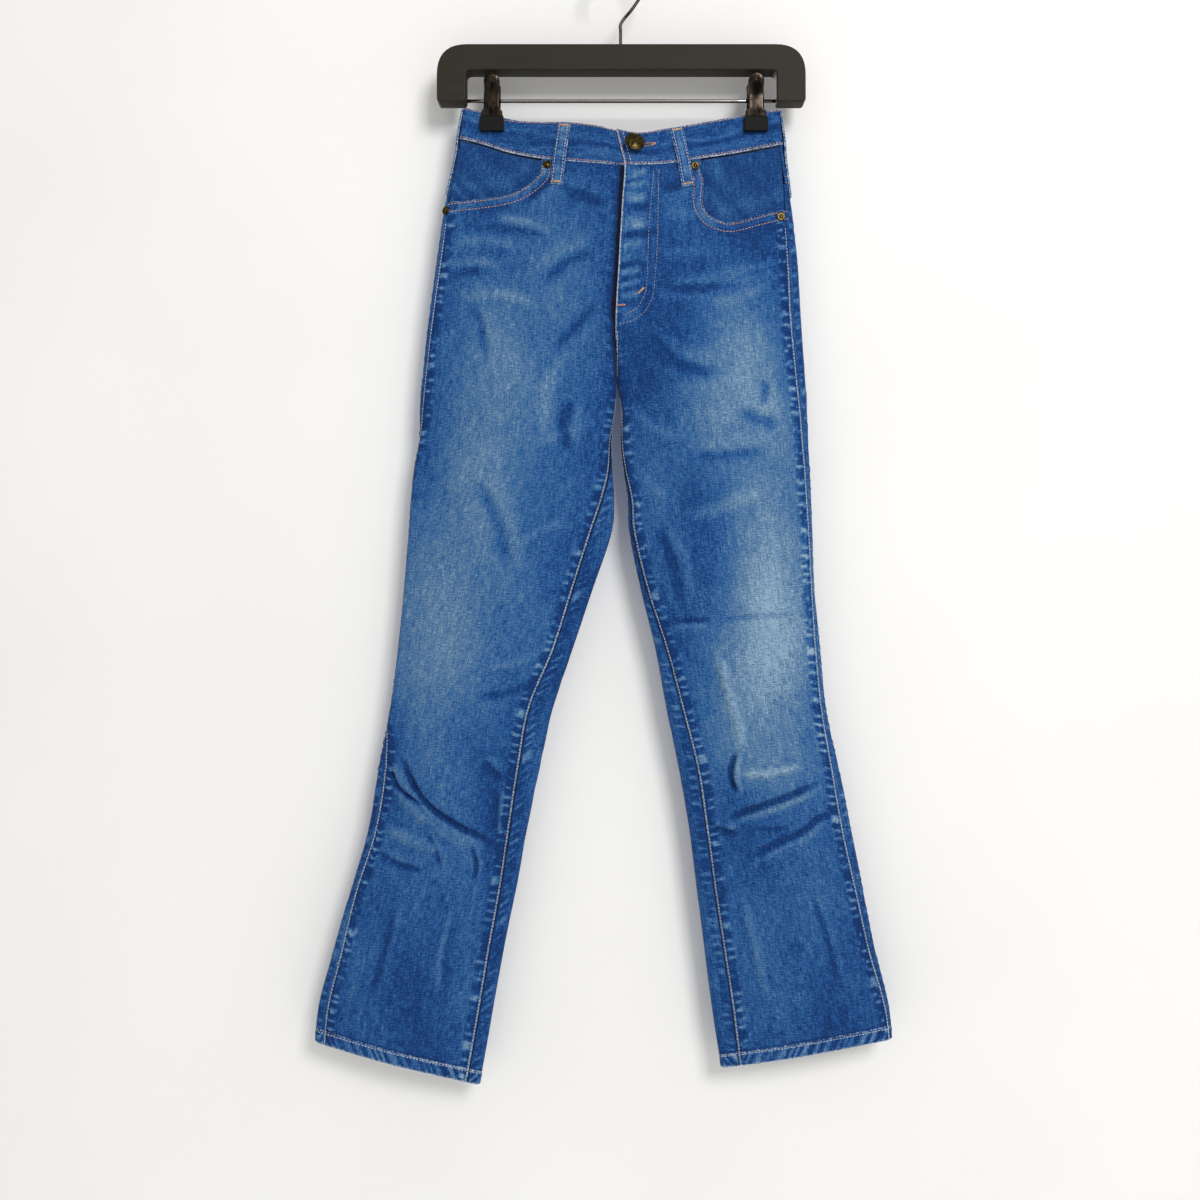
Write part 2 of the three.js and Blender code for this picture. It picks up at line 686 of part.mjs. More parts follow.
// The fly's flap edge on the left front stands proud of the right front
function flapLift(level, turn) {
  const down = smooth(FLAP_END.flat, FLAP_END.full, level);
  const width = FLAP_WIDTH / TURN_WIDTH.fly;
  return FLAP_LIFT * down * smooth(1 - width, 1 - width * 0.4, turn);
}

for (const leg of ["right", "left"]) {
  const lift = leg === "left" ? flapLift : () => 0;
  const front = solidOf(legPanel(leg, false, seamLevel, lift));
  const mouth = new THREE.Shape(POCKET_MOUTH[leg].map(([x, z]) => new THREE.Vector2(x, z)));
  const outside = Math.sign(SIDE_X[leg]) * POCKET_CUT.outside;
  mouth.lineTo(outside, POCKET_MOUTH[leg][0][1]);
  mouth.closePath();
  const cutter = solidOf(closed(plateXZ(mouth, POCKET_CUT.fromY, POCKET_CUT.toY)));
  add(`front_${leg}`, geometryOf(front.subtract(cutter)), DENIM);
}

for (const leg of ["right", "left"]) {
  const backTop = (side, turn) => yokeLevel(side, turn) + SEAM_GAP / RISE_HEIGHT;
  add(`back_${leg}`, legPanel(leg, true, backTop, () => 0), DENIM);
}

// A patch on the garment: rows and columns placed by a function, lifted off the surface
function patch(rows, columns, place, lift, cloth) {
  const sheet = (up) => (i, j) => {
    const { leg, level, turn } = place(i / (rows - 1), j / (columns - 1));
    return lifted(leg, level, turn, lift(i / (rows - 1)) + up);
  };
  return wall(rows, columns, sheet(cloth), sheet(0));
}

// Yokes between the waist seam and the back panels
const YOKE_ROWS = 5;
for (const leg of ["right", "left"]) {
  const columns = BACK_COLUMNS.length;
  const sheet = (lift) => (i, j) => {
    const start = shifted(leg, seamLevel(), sideTurn(leg, seamLevel()), -SEAM_GAP / 2);
    const turn = mix(start, -1 + SEAM_GAP / 2 / TURN_WIDTH.waist, BACK_COLUMNS[j]);
    const foot = yokeLevel(leg, turn) - SEAM_GAP / RISE_HEIGHT;
    return lifted(leg, mix(seamLevel(), foot, i / (YOKE_ROWS - 1)), turn, lift);
  };
  add(`yoke_${leg}`, wall(YOKE_ROWS, columns, sheet(0), sheet(-CLOTH)), DENIM);
}

// Columns of a facing: two fifths of them on the seventh of it that turns round the side
function sideShare(a) {
  const columns = 0.4;
  const width = 0.14;
  return a < columns ? (a * width) / columns : mix(width, 1, (a - columns) / (1 - columns));
}

// Facings that show in the pocket mouths
for (const leg of ["right", "left"]) {
  const out = Math.sign(SIDE_X[leg]);
  const foot = placeOf(leg, out * FACING.outward, FACING.foot[leg], false).level;
  const innerX = POCKET_MOUTH[leg][0][0] - out * FACING.inward;
  const place = (b, a) => {
    const level = mix(FACING.top, foot, b);
    const start = shifted(leg, level, sideTurn(leg, level), SEAM_GAP / 2);
    const end = turnOfX(leg, level, innerX, false);
    return { leg, level, turn: mix(start, end, sideShare(a)) };
  };
  const under = () => FACING.lift - FACING.cloth;
  const facing = patch(FACING.rows, FACING.columns, place, under, FACING.cloth);
  add(`pocket_facing_${leg}`, facing, DENIM_DARK);
}

// A strip behind the fly, from one x on the right front across the centre to one on the left
function flyStrip(strip) {
  const place = (b, a) => {
    const level = mix(STRIP.top, strip.foot, b);
    const centre = centreX(riseZ(level, 0, false));
    const x = mix(centre - strip.right, centre + strip.left, a);
    const leg = x < centre ? "right" : "left";
    return { leg, level, turn: turnOfX(leg, level, x, false) };
  };
  return patch(STRIP.rows, STRIP.columns, place, () => strip.lift - strip.cloth, strip.cloth);
}

add("zip_tape", flyStrip(ZIP), TAPE);
add("fly_shield", flyStrip(SHIELD), DENIM_DARK);

// Turns of the waistband's stations, closer together round the side's edge fold
const BAND_TURNS = [1, 0.985, 0.93, 0.86, 0.78, 0.7, 0.62, 0.54, 0.46, 0.38, 0.3, 0.24, 0.19, 0.14,
  0.1, 0.07, 0.05, 0.033, 0.016];
const STEP_TURNS = [0.9, 0.92, 0.94, 0.96, 0.98];

// Waistband: one strip from the overlap end round the back to the underlap behind the overlap
function bandStations() {
  const stations = [];
  const turns = BAND_TURNS;
  const end = SEAM_GAP / 2 / TURN_WIDTH.waist;
  for (const turn of turns) {
    stations.push({ leg: "left", turn: Math.min(turn, 1 - end), under: 0 });
  }
  stations.push({ leg: "left", turn: 0, under: 0 });
  for (const turn of turns.slice().reverse()) {
    stations.push({ leg: "left", turn: -turn, under: 0 });
  }
  for (const turn of turns.slice(1)) {
    stations.push({ leg: "right", turn: -turn, under: 0 });
  }
  stations.push({ leg: "right", turn: 0, under: 0 });
  for (const turn of turns.slice(3).reverse()) {
    stations.push({ leg: "right", turn, under: 0 });
  }
  for (const turn of STEP_TURNS) {
    stations.push({ leg: "right", turn, under: smooth(UNDERLAP.stepFrom, UNDERLAP.stepTo, turn) });
  }
  for (const share of [0, 0.235, 0.47, 0.706, 1]) {
    stations.push({ leg: "left", turn: 1 - (share * UNDERLAP.reach) / TURN_WIDTH.waist, under: 1 });
  }
  return stations;
}

const BAND_STATIONS = bandStations();
const BAND_ROWS = 3;
const bandSheet = (lift) => (i, j) => {
  const { leg, turn, under } = BAND_STATIONS[i];
  const level = mix(LEVEL.top, LEVEL.seam - SEAM_GAP / 2 / BAND_HEIGHT, j / (BAND_ROWS - 1));
  return lifted(leg, level, turn, lift + under * (UNDERLAP.lift - BAND_PROUD));
};
const band = wall(BAND_STATIONS.length, BAND_ROWS, bandSheet(BAND_PROUD), bandSheet(-BAND_DEEP));
add("waistband", band, DENIM);

// Back pockets: patches with straight sides that taper to a pointed foot
for (const leg of ["right", "left"]) {
  const sign = Math.sign(SIDE_X[leg]);
  const place = (b, a) => {
    const inner = BACK_POCKET.inner + BACK_POCKET.taper * b;
    const outer = BACK_POCKET.outer - BACK_POCKET.taper * b;
    const top = mix(BACK_POCKET.topInner, BACK_POCKET.topOuter, a);
    const foot = BACK_POCKET.foot - BACK_POCKET.point * (1 - Math.abs(2 * a - 1));
    return { leg, ...placeOf(leg, sign * mix(inner, outer, a), mix(top, foot, b), true) };
  };
  const pocket = patch(BACK_POCKET.rows, BACK_POCKET.columns, place, () => PATCH_LIFT, PATCH_CLOTH);
  add(`back_pocket_${leg}`, pocket, DENIM);
}

// Height of a belt loop off the surface, down its length: over the band, then on the panel
function loopLift(level, share) {
  const base = mix(LOOP.onBand, LOOP.onPanel, smooth(LOOP.step, LOOP.stepEnd, level));
  return base + LOOP.stand * Math.sin(Math.PI * share) ** 2;
}

// Level down a loop: a share of its length lies on the band, the rest on the panel
function loopLevel(foot, share) {
  const { bandShare, step, top } = LOOP;
  return share < bandShare
    ? mix(top, step, share / bandShare)
    : mix(step, foot, (share - bandShare) / (1 - bandShare));
}

for (const loop of STRAIGHT_LOOPS) {
  const side = loop.footX < centreX(loop.foot) ? "right" : "left";
  const foot = placeOf(side, loop.footX, loop.foot, loop.back).level;
  const place = (b, a) => {
    const level = loopLevel(foot, b);
    const x = mix(loop.topX, loop.footX, b) + (a - 0.5) * LOOP.width;
    const leg = x < centreX(riseZ(level, 0, loop.back)) ? "right" : "left";
    return { leg, level, turn: turnOfX(leg, level, x, loop.back) };
  };
  const lift = (b) => loopLift(loopLevel(foot, b), b);
  add(loop.name, patch(LOOP.rows, LOOP.flatColumns, place, lift, LOOP.cloth), DENIM);
}

for (const loop of SIDE_LOOPS) {
  const foot = placeOf(loop.leg, Math.sign(SIDE_X[loop.leg]) * LOOP.sideX, loop.foot, true).level;
  const place = (b, a) => {
    const turn = mix(SIDE_LOOP_TURNS.front, SIDE_LOOP_TURNS.back, a);
    return { leg: loop.leg, level: loopLevel(foot, b), turn };
  };
  const lift = (b) => loopLift(loopLevel(foot, b), b);
  add(loop.name, patch(LOOP.rows, LOOP.roundColumns, place, lift, LOOP.cloth), DENIM);
}

// A low metal dome: profile from the axis at the foot to the axis at the crown
function dome(radius, rim, crown, sides) {
  const arcs = 4;
  const profile = [
    new THREE.Vector2(0, 0),
    new THREE.Vector2(radius * 0.93, 0),
    new THREE.Vector2(radius, rim * 0.5),
  ];
  for (let k = 0; k <= arcs; k += 1) {
    const angle = (Math.PI / 2) * (k / arcs);
    profile.push(new THREE.Vector2(radius * 0.97 * Math.cos(angle), rim + crown * Math.sin(angle)));
  }
  profile[profile.length - 1].x = 0;
  return new THREE.LatheGeometry(profile, sides);
}

// Turns a dome's axis onto the cloth's normal and seats it a height above the surface
function seated(geometry, leg, place, height, tilt) {
  const out = normal(leg, place.level, place.turn);
  const turn = new THREE.Quaternion().setFromUnitVectors(new THREE.Vector3(0, 1, 0), out);
  const lean = new THREE.Quaternion().setFromAxisAngle(new THREE.Vector3(1, 0, 1).normalize(), tilt);
  const at = lifted(leg, place.level, place.turn, height);
  geometry.applyMatrix4(new THREE.Matrix4().compose(at, lean.multiply(turn), new THREE.Vector3(1, 1, 1)));
  return closed(geometry);
}

const buttonPlace = placeOf("left", BUTTON.x, BUTTON.z, false);
const buttonHeight = BAND_PROUD + BUTTON.seat + BUTTON.radius * Math.sin(BUTTON.tilt);
const buttonDome = dome(BUTTON.radius, BUTTON.rim, BUTTON.dome, BUTTON.sides);
add("button", seated(buttonDome, "left", buttonPlace, buttonHeight, BUTTON.tilt), ANTIQUE_BRASS);

for (const rivet of RIVETS) {
  const place = placeOf(rivet.leg, rivet.x, rivet.z, false);
  const cap = dome(RIVET.radius, RIVET.rim, RIVET.dome, RIVET.sides);
  add(rivet.name, seated(cap, rivet.leg, place, RIVET.seat, 0), ANTIQUE_BRASS);
}

// Hanger bar with its two ends, cut from one board
function hangerOutline() {
  const left = HANGER.centreX - HANGER.halfWidth;
  const right = HANGER.centreX + HANGER.halfWidth;
  const top = HANGER.topZ;
  const foot = top - HANGER.endHeight;
  const under = top - HANGER.barHeight;
  const inLeft = left + HANGER.endWidth;
  const inRight = right - HANGER.endWidth;
  const r = HANGER.corner;
  const s = HANGER.footCorner;
  const n = HANGER.innerCorner;
  const shape = new THREE.Shape();
  shape.moveTo(left, top - r);
  shape.quadraticCurveTo(left, top, left + r, top);
  shape.lineTo(right - r, top);
  shape.quadraticCurveTo(right, top, right, top - r);
  shape.lineTo(right, foot + s);
  shape.quadraticCurveTo(right, foot, right - s, foot);
  shape.lineTo(inRight + s, foot);
  shape.quadraticCurveTo(inRight, foot, inRight, foot + s);
  shape.lineTo(inRight, under - n);
  shape.quadraticCurveTo(inRight, under, inRight - n, under);
  shape.lineTo(inLeft + n, under);
  shape.quadraticCurveTo(inLeft, under, inLeft, under - n);
  shape.lineTo(inLeft, foot + s);
  shape.quadraticCurveTo(inLeft, foot, inLeft - s, foot);
  shape.lineTo(left + s, foot);
  shape.quadraticCurveTo(left, foot, left, foot + s);
  shape.closePath();
  return shape;
}

const halfBoard = HANGER.thickness / 2;
const board = plateXZ(hangerOutline(), -halfBoard, halfBoard, HANGER.arcs);
add("hanger_bar", closed(board), HANGER_WOOD);

// Hook: a straight stem, a slanted neck and a round crook whose inner top is the origin
function hookPath() {
  const neck = [[0, -8], [0, -2], [3.5, 4], [11, 13]];
  const points = [new THREE.Vector3(HOOK.stemX, 0, HANGER.topZ + SEAM_GAP)];
  for (const [x, z] of neck) {
    points.push(new THREE.Vector3(HOOK.stemX + x, 0, HOOK.bendZ + z));
  }
  const crookZ = HOOK.wire - HOOK.radius;
  for (let angle = HOOK.startAngle; angle <= HOOK.endAngle; angle += HOOK.stepAngle) {
    const a = THREE.MathUtils.degToRad(angle);
    const x = HOOK.centreX + HOOK.radius * Math.cos(a);
    points.push(new THREE.Vector3(x, 0, crookZ + HOOK.radius * Math.sin(a)));
  }
  return new THREE.CatmullRomCurve3(points, false, "centripetal");
}

const wire = new THREE.Shape();
wire.absarc(0, 0, HOOK.wire, 0, Math.PI * 2, false);
const hookSettings = {
  steps: HOOK.steps,
  bevelEnabled: false,
  extrudePath: hookPath(),
  curveSegments: HOOK.arcs,
};
const hook = new THREE.ExtrudeGeometry(wire, hookSettings);
add("hanger_hook", closed(hook), STEEL);

const rodLength = 2 * (HANGER.halfWidth - HANGER.endWidth - SEAM_GAP);
const rod = new THREE.CylinderGeometry(ROD.radius, ROD.radius, rodLength, ROD.sides);
rod.rotateZ(Math.PI / 2);
rod.translate(HANGER.centreX, 0, ROD.z);
add("hanger_rod", closed(rod), STEEL);

// Clip seen from the side: two levers that spread upward, joined by a hub round the rod
function clipSide() {
  const hubTop = ROD.z + CLIP.hubHalf;
  const hubFoot = ROD.z - CLIP.hubHalf;
  const lever = [
    [CLIP.hubY, hubTop],
    [CLIP.topY, CLIP.topZ],
    [CLIP.topY + CLIP.plate, CLIP.topZ],
    [CLIP.hubY + CLIP.plate, hubTop],
    [CLIP.hubY + CLIP.plate, CLIP.flareZ],
    [CLIP.footY + CLIP.plate, CLIP.footZ],
    [CLIP.footY, CLIP.footZ],
    [CLIP.hubY, CLIP.flareZ],
    [CLIP.hubY, hubFoot],
  ];
  const mirrored = lever.slice().reverse().map(([y, z]) => [-y, z]);
  const shape = new THREE.Shape([...lever, ...mirrored].map(([y, z]) => new THREE.Vector2(y, z)));
  const hole = new THREE.Path();
  hole.absarc(0, ROD.z, ROD.hole, 0, Math.PI * 2, false);
  shape.holes.push(hole);
  return shape;
}

// Clip seen from the front: a round head, straight sides and a wider foot
function clipFront() {
  const half = CLIP.width / 2;
  const foot = CLIP.footWidth / 2;
  const shape = new THREE.Shape();
  shape.absarc(0, CLIP.topZ - half, half, Math.PI, 0, true);
  shape.lineTo(half, CLIP.flareZ);
  shape.lineTo(foot, CLIP.flareZ - 4);
  shape.lineTo(foot, CLIP.footZ - 1);
  shape.lineTo(-foot, CLIP.footZ - 1);
  shape.lineTo(-foot, CLIP.flareZ - 4);
  shape.lineTo(-half, CLIP.flareZ);
  shape.closePath();
  return shape;
}

function clipGeometry() {
  const width = CLIP.footWidth + 4;
  const across = new THREE.ExtrudeGeometry(clipSide(), {
    depth: width,
    bevelEnabled: false,
    curveSegments: 6,
  });
  across.translate(0, 0, -width / 2);
  const axes = new THREE.Matrix4().makeBasis(
    new THREE.Vector3(0, 1, 0),
    new THREE.Vector3(0, 0, 1),
    new THREE.Vector3(1, 0, 0),
  );
  across.applyMatrix4(axes);
  const face = plateXZ(clipFront(), -CLIP.width, CLIP.width, 8);
  return geometryOf(solidOf(closed(across)).intersect(solidOf(closed(face))));
}

// Rubber pad with round corners, in front of the band or behind it
function padShape() {
  const half = PAD.width / 2;
  const r = PAD.corner;
  const shape = new THREE.Shape();
  shape.moveTo(-half, PAD.footZ + r);
  shape.lineTo(-half, PAD.topZ - r);
  shape.quadraticCurveTo(-half, PAD.topZ, -half + r, PAD.topZ);
  shape.lineTo(half - r, PAD.topZ);
  shape.quadraticCurveTo(half, PAD.topZ, half, PAD.topZ - r);
  shape.lineTo(half, PAD.footZ + r);
  shape.quadraticCurveTo(half, PAD.footZ, half - r, PAD.footZ);
  shape.lineTo(-half + r, PAD.footZ);
  shape.quadraticCurveTo(-half, PAD.footZ, -half, PAD.footZ + r);
  shape.closePath();
  return shape;
}

for (const clip of CLIPS) {
  add(clip.name, clipGeometry().translate(clip.x, 0, 0), GUNMETAL);
  for (const face of ["front", "back"]) {
    const from = face === "front" ? -PAD.outer : PAD.inner;
    const pad = closed(plateXZ(padShape(), from, from + PAD.outer - PAD.inner, PAD.arcs));
    add(`${clip.name}_pad_${face}`, pad.translate(clip.x, 0, 0), RUBBER);
  }
}

export default group;
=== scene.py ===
"""Flared jeans of washed stretch denim, hanging by the waistband from a clip hanger.

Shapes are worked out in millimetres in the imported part's own frame: +Z up, the front faces -Y,
the wearer's right leg on the -X side. They go into the meshes in metres.
"""

import bpy
import numpy as np
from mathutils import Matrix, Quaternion, Vector, geometry


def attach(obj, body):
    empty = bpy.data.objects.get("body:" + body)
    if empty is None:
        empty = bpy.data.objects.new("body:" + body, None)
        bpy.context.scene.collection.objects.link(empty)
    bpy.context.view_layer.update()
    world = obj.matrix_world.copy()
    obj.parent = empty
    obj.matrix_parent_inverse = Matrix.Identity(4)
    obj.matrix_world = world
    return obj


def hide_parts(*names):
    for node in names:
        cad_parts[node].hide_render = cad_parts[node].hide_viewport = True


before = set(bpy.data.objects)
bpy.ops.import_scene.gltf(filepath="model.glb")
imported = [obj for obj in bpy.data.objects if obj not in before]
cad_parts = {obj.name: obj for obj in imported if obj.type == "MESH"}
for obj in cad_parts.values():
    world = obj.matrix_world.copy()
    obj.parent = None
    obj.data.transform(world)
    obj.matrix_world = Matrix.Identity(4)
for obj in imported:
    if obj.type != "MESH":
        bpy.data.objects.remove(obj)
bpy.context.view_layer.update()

MM = 0.001

# Camera: square frame, 1300 mm in front of the middle plane, 1.2 m wide there
CAMERA_X, CAMERA_BACK, CAMERA_Z = -20.0, 1300.0, -637.0
PHOTO_MIDDLE = 600

lens = bpy.data.cameras.new("camera")
lens.sensor_width = 36
lens.lens = lens.sensor_width / 2 / (PHOTO_MIDDLE / CAMERA_BACK)
camera = bpy.data.objects.new("camera", lens)
camera.location = (CAMERA_X * MM, -CAMERA_BACK * MM, CAMERA_Z * MM)
camera.rotation_euler = (np.pi / 2, 0, 0)
bpy.context.scene.collection.objects.link(camera)
bpy.context.scene.camera = camera


def seen(points, depth=-18.0):
    """Frame x and z of points seen at (pixels across, pixels down), on a plane at that depth."""
    p = np.asarray(points, float)
    scale = (CAMERA_BACK + depth) / CAMERA_BACK
    x = (p[:, 0] - PHOTO_MIDDLE) * scale + CAMERA_X
    z = (PHOTO_MIDDLE - p[:, 1]) * scale + CAMERA_Z
    return np.stack([x, z], 1)


# Sizes of the garment
SEAM_GAP = 0.1
CLOTH = 1.2
HEM_CLOTH = 2.6
HEM_HEIGHT = 14
BAND_PROUD = 0.8
BAND_DEEP = 1.8
FLAP_LIFT = 1.1
FLAP_WIDTH = 9
SEAM, CROTCH, HEM = 1, 2, 3
CROTCH_Z = -421
HEM_Z = {"right": (-1078, -1121), "left": (-1075, -1104)}
SIDE_X = {"right": -160, "left": 162}
FOLD_SHARE = 0.05


def table(names, rows):
    """Columns of measured rows, by name."""
    return dict(zip(names.split(), np.array(rows, float).T))


WAIST_LINE = table(
    "x top seam back_top back_seam",
    [
        (-165, -143, -175, -143, -175),
        (-136, -150, -182.6, -149, -184),
        (-112, -157.5, -190.4, -155, -191),
        (-80, -161, -198, -160, -197),
        (-50, -163.5, -203, -164, -201),
        (-6, -171.5, -208, -168, -205),
        (18, -175.5, -208, -168, -205),
        (47, -170, -205.5, -165, -202),
        (87, -160.6, -197, -159, -196),
        (123, -153, -190, -152, -189),
        (165, -146, -181.5, -146, -181.5),
    ],
)
CENTRE_LINE = table(
    "z x",
    [(-421, -3), (-366, -4.8), (-300, -1.5), (-240, 2), (-208, 4), (-190, 0), (-172, -4), (-140, -4)],
)
LEG_EDGE = {
    "right": table(
        "z outer inner side inseam",
        [
            (-1121, -306, -140, 9, 13),
            (-1047, -302, -127, 9, 13),
            (-987, -286, -116, 7.5, 14),
            (-927, -269, -104, 5, 15),
            (-867, -252, -93, 7, 17),
            (-807, -242, -81, 7, 20),
            (-747, -230, -67, -3, 23),
            (-687, -222, -47, -6, 19),
            (-627, -216, -27, -7, 20),
            (-567, -211, -8, -6, 20),
            (-537, -209, -6, -4, 12),
            (-507, -206, -8, -2, 3),
            (-477, -201, -9, 0, 0.5),
            (-447, -200, -5, 2, 0),
            (-421, -198, -3.3, 2.5, 0),
            (-357, -191, -3.3, 3, 0),
            (-297, -182.5, 0, 3, 0),
            (-237, -173, 0, 2, 0),
            (-189, -162, 0, 1, 0),
            (-140, -155, 0, 0, 0),
        ],
    ),
    "left": table(
        "z outer inner side inseam",
        [
            (-1104, 272, 101, 2, 18),
            (-1047, 269, 92, 3, 20),
            (-987, 255, 85, 5.5, 18),
            (-927, 243, 77, 7, 17),
            (-867, 231, 69, 8.5, 17),
            (-807, 219, 59, 7, 18),
            (-747, 206, 47, 4, 15),
            (-687, 200, 36, 4, 10),
            (-627, 194.5, 21, 2.5, 6),
            (-567, 192, 9, 3, 4),
            (-537, 191, 8, 4, 3),
            (-507, 190, 4, 5, 1),
            (-477, 188.5, 1, 6, 0.5),
            (-447, 187.5, 1.5, 7.5, 0),
            (-421, 186, -2.7, 9, 0),
            (-357, 181, -2.7, 10, 0),
            (-297, 177, 0, 9, 0),
            (-237, 170, 0, 6, 0),
            (-189, 163, 0, 3, 0),
            (-140, 158, 0, 1, 0),
        ],
    ),
}
DEPTH = table(
    "z front back fold",
    [
        (-1121, 11, 12, 4.2),
        (-1000, 14, 15, 4.4),
        (-860, 16, 17, 4.6),
        (-800, 18, 16, 4.6),
        (-700, 17, 18, 4.6),
        (-560, 20, 22, 4.6),
        (-421, 22, 26, 4.6),
        (-330, 22, 29, 4.6),
        (-260, 21, 26, 4.2),
        (-205, 20, 21, 3.6),
        (-181, 19, 19, 3.1),
        (-170, 18, 18, 2.6),
        (-140, 17, 17, 2.5),
    ],
)
HANGER_X = 1.1
CLIP_X = {"right": -127.7, "left": 135.2}
CLIP_WIDTH = 16

# Creases on the front: half width and height in mm, share of a ridge or trough beside it
# (positive: on the left of the way the points go), and the points seen in the photograph
FRONT_CREASES = [
    (5, -3.6, 0.5, [(384, 757), (396, 787), (417, 803), (427, 819)]),
    (5.5, -4.8, -0.5, [(398, 752), (413, 787), (429, 807), (445, 819), (465, 831), (484, 841), (499, 852)]),
    (8, 2.6, 0, [(391, 775), (408, 806), (436, 829), (475, 850)]),
    (7, -2.2, 0.4, [(480, 760), (490, 770), (500, 781)]),
    (5, 2.8, -0.5, [(503, 788), (500, 812), (498, 842)]),
    (9, 2.4, 0, [(381, 828), (412, 842), (448, 852)]),
    (6, -1.6, 0.4, [(372, 852), (398, 866), (430, 872)]),
    (5, -2.4, -0.5, [(668, 621), (690, 621), (714, 620)]),
    (6, -1.2, 0, [(714, 620), (760, 616), (810, 614)]),
    (8, 3.4, 0, [(715, 644), (729, 694), (741, 740), (742, 760)]),
    (4.5, -5, 0.5, [(737, 750), (732, 766), (732, 780), (738, 797)]),
    (7, 2.8, 0, [(736, 775), (770, 773), (806, 766)]),
    (5.5, -4.2, -0.5, [(726, 821), (740, 815), (762, 807), (790, 797), (826, 781)]),
    (6, -3, -0.4, [(745, 862), (774, 846), (805, 832), (820, 820), (842, 812)]),
    (5, -2.6, 0.4, [(704, 822), (720, 831), (742, 835)]),
    (4, -1.6, 0, [(753, 828), (770, 830), (790, 829)]),
    (7, -1.6, 0.3, [(674, 362), (696, 370), (718, 375)]),
    (7, 1.1, 0, [(682, 518), (714, 510), (740, 499), (772, 487)]),
    (6, -1.1, 0.5, [(686, 458), (730, 455), (775, 451)]),
    (7, -1.6, 0.4, [(735, 411), (758, 418), (782, 427)]),
    (5, -1.3, 0.4, [(762, 376), (766, 392), (760, 408)]),
    (6, -2.2, 0.5, [(572, 397), (564, 424), (569, 453)]),
    (5, 0.8, 0, [(624, 402), (643, 418), (661, 431), (684, 440)]),
    (5, 0.8, 0, [(637, 467), (653, 488), (673, 499)]),
    (5, 0.8, 0, [(598, 419), (569, 431), (543, 441), (529, 448)]),
    (5, 0.8, 0, [(571, 515), (533, 535), (510, 544)]),
    (5, 0.7, 0, [(498, 212), (518, 219), (537, 226)]),
    (6, -0.8, 0, [(439, 264), (470, 266), (500, 268)]),
    (5, 0.7, 0, [(658, 254), (688, 252), (718, 249)]),
    (5, 0.8, 0, [(706, 284), (739, 279), (782, 271)]),
    (5, 0.7, 0, [(654, 293), (682, 296), (710, 297)]),
    (5, 0.9, 0, [(486, 170), (510, 163), (540, 166), (560, 176)]),
    (5, -1.2, 0.5, [(560, 170), (540, 186), (524, 204)]),
    (5, 1.1, 0, [(488, 214), (512, 219), (536, 224), (556, 233)]),
    (5, -1.0, 0, [(486, 221), (510, 227), (534, 233), (550, 241)]),
    (6, 1.2, 0, [(438, 268), (462, 262), (486, 262), (506, 268)]),
    (6, -1.0, 0, [(440, 276), (464, 270), (488, 271)]),
    (5, 1.0, 0, [(654, 218), (684, 212), (712, 216), (736, 224)]),
    (5, 1.1, 0, [(660, 284), (700, 279), (744, 268), (784, 258)]),
    (5, -1.0, 0, [(664, 292), (704, 288), (748, 278)]),
    (6, 1.0, 0, [(704, 306), (740, 296), (776, 280)]),
    (6, -1.2, 0.4, [(600, 300), (580, 322), (556, 350), (540, 384)]),
    (6, -1.1, 0.4, [(640, 330), (664, 352), (694, 380)]),
    (5, -1.0, 0.4, [(470, 300), (482, 330), (486, 366)]),
    (4, -1.5, 0.5, [(617, 236), (636, 234), (660, 231)]),
    (4, -1.2, 0.5, [(620, 206), (636, 207), (652, 204)]),
    (5, -1.2, 0.4, [(617, 268), (634, 266), (650, 268)]),
    (5, -1.2, -0.4, [(660, 188), (680, 184), (694, 176)]),
    (6, 1.1, 0, [(452, 300), (482, 292), (512, 296), (540, 306)]),
    (6, 1.0, 0, [(446, 244), (470, 238), (500, 240), (530, 250)]),
    (6, -1.2, 0.4, [(560, 190), (584, 196), (608, 208)]),
    (7, -1.3, 0.5, [(540, 286), (566, 262), (600, 250)]),
    (8, -1.2, 0.4, [(470, 470), (496, 520), (508, 580)]),
    (8, 1.2, 0, [(560, 330), (548, 380), (540, 440)]),
    (6, -1.5, 0.5, [(655, 520), (672, 560), (684, 610)]),
    (4, -2.2, 0.5, [(470, 846), (476, 866), (472, 884)]),
    (4, -1.6, 0.5, [(426, 832), (436, 852), (440, 872)]),
    (7, 1.2, 0, [(560, 640), (520, 662), (480, 668)]),
    (7, -1.2, 0, [(545, 676), (505, 694), (470, 696)]),
    (6, 1.4, 0.3, [(455, 905), (440, 950), (436, 1000)]),
    (6, -1.2, 0.3, [(395, 900), (384, 950), (368, 1010)]),
    (7, 1.4, -0.3, [(742, 890), (756, 950), (770, 1010)]),
    (6, -1.2, 0.3, [(806, 880), (828, 940), (842, 1000)]),
]

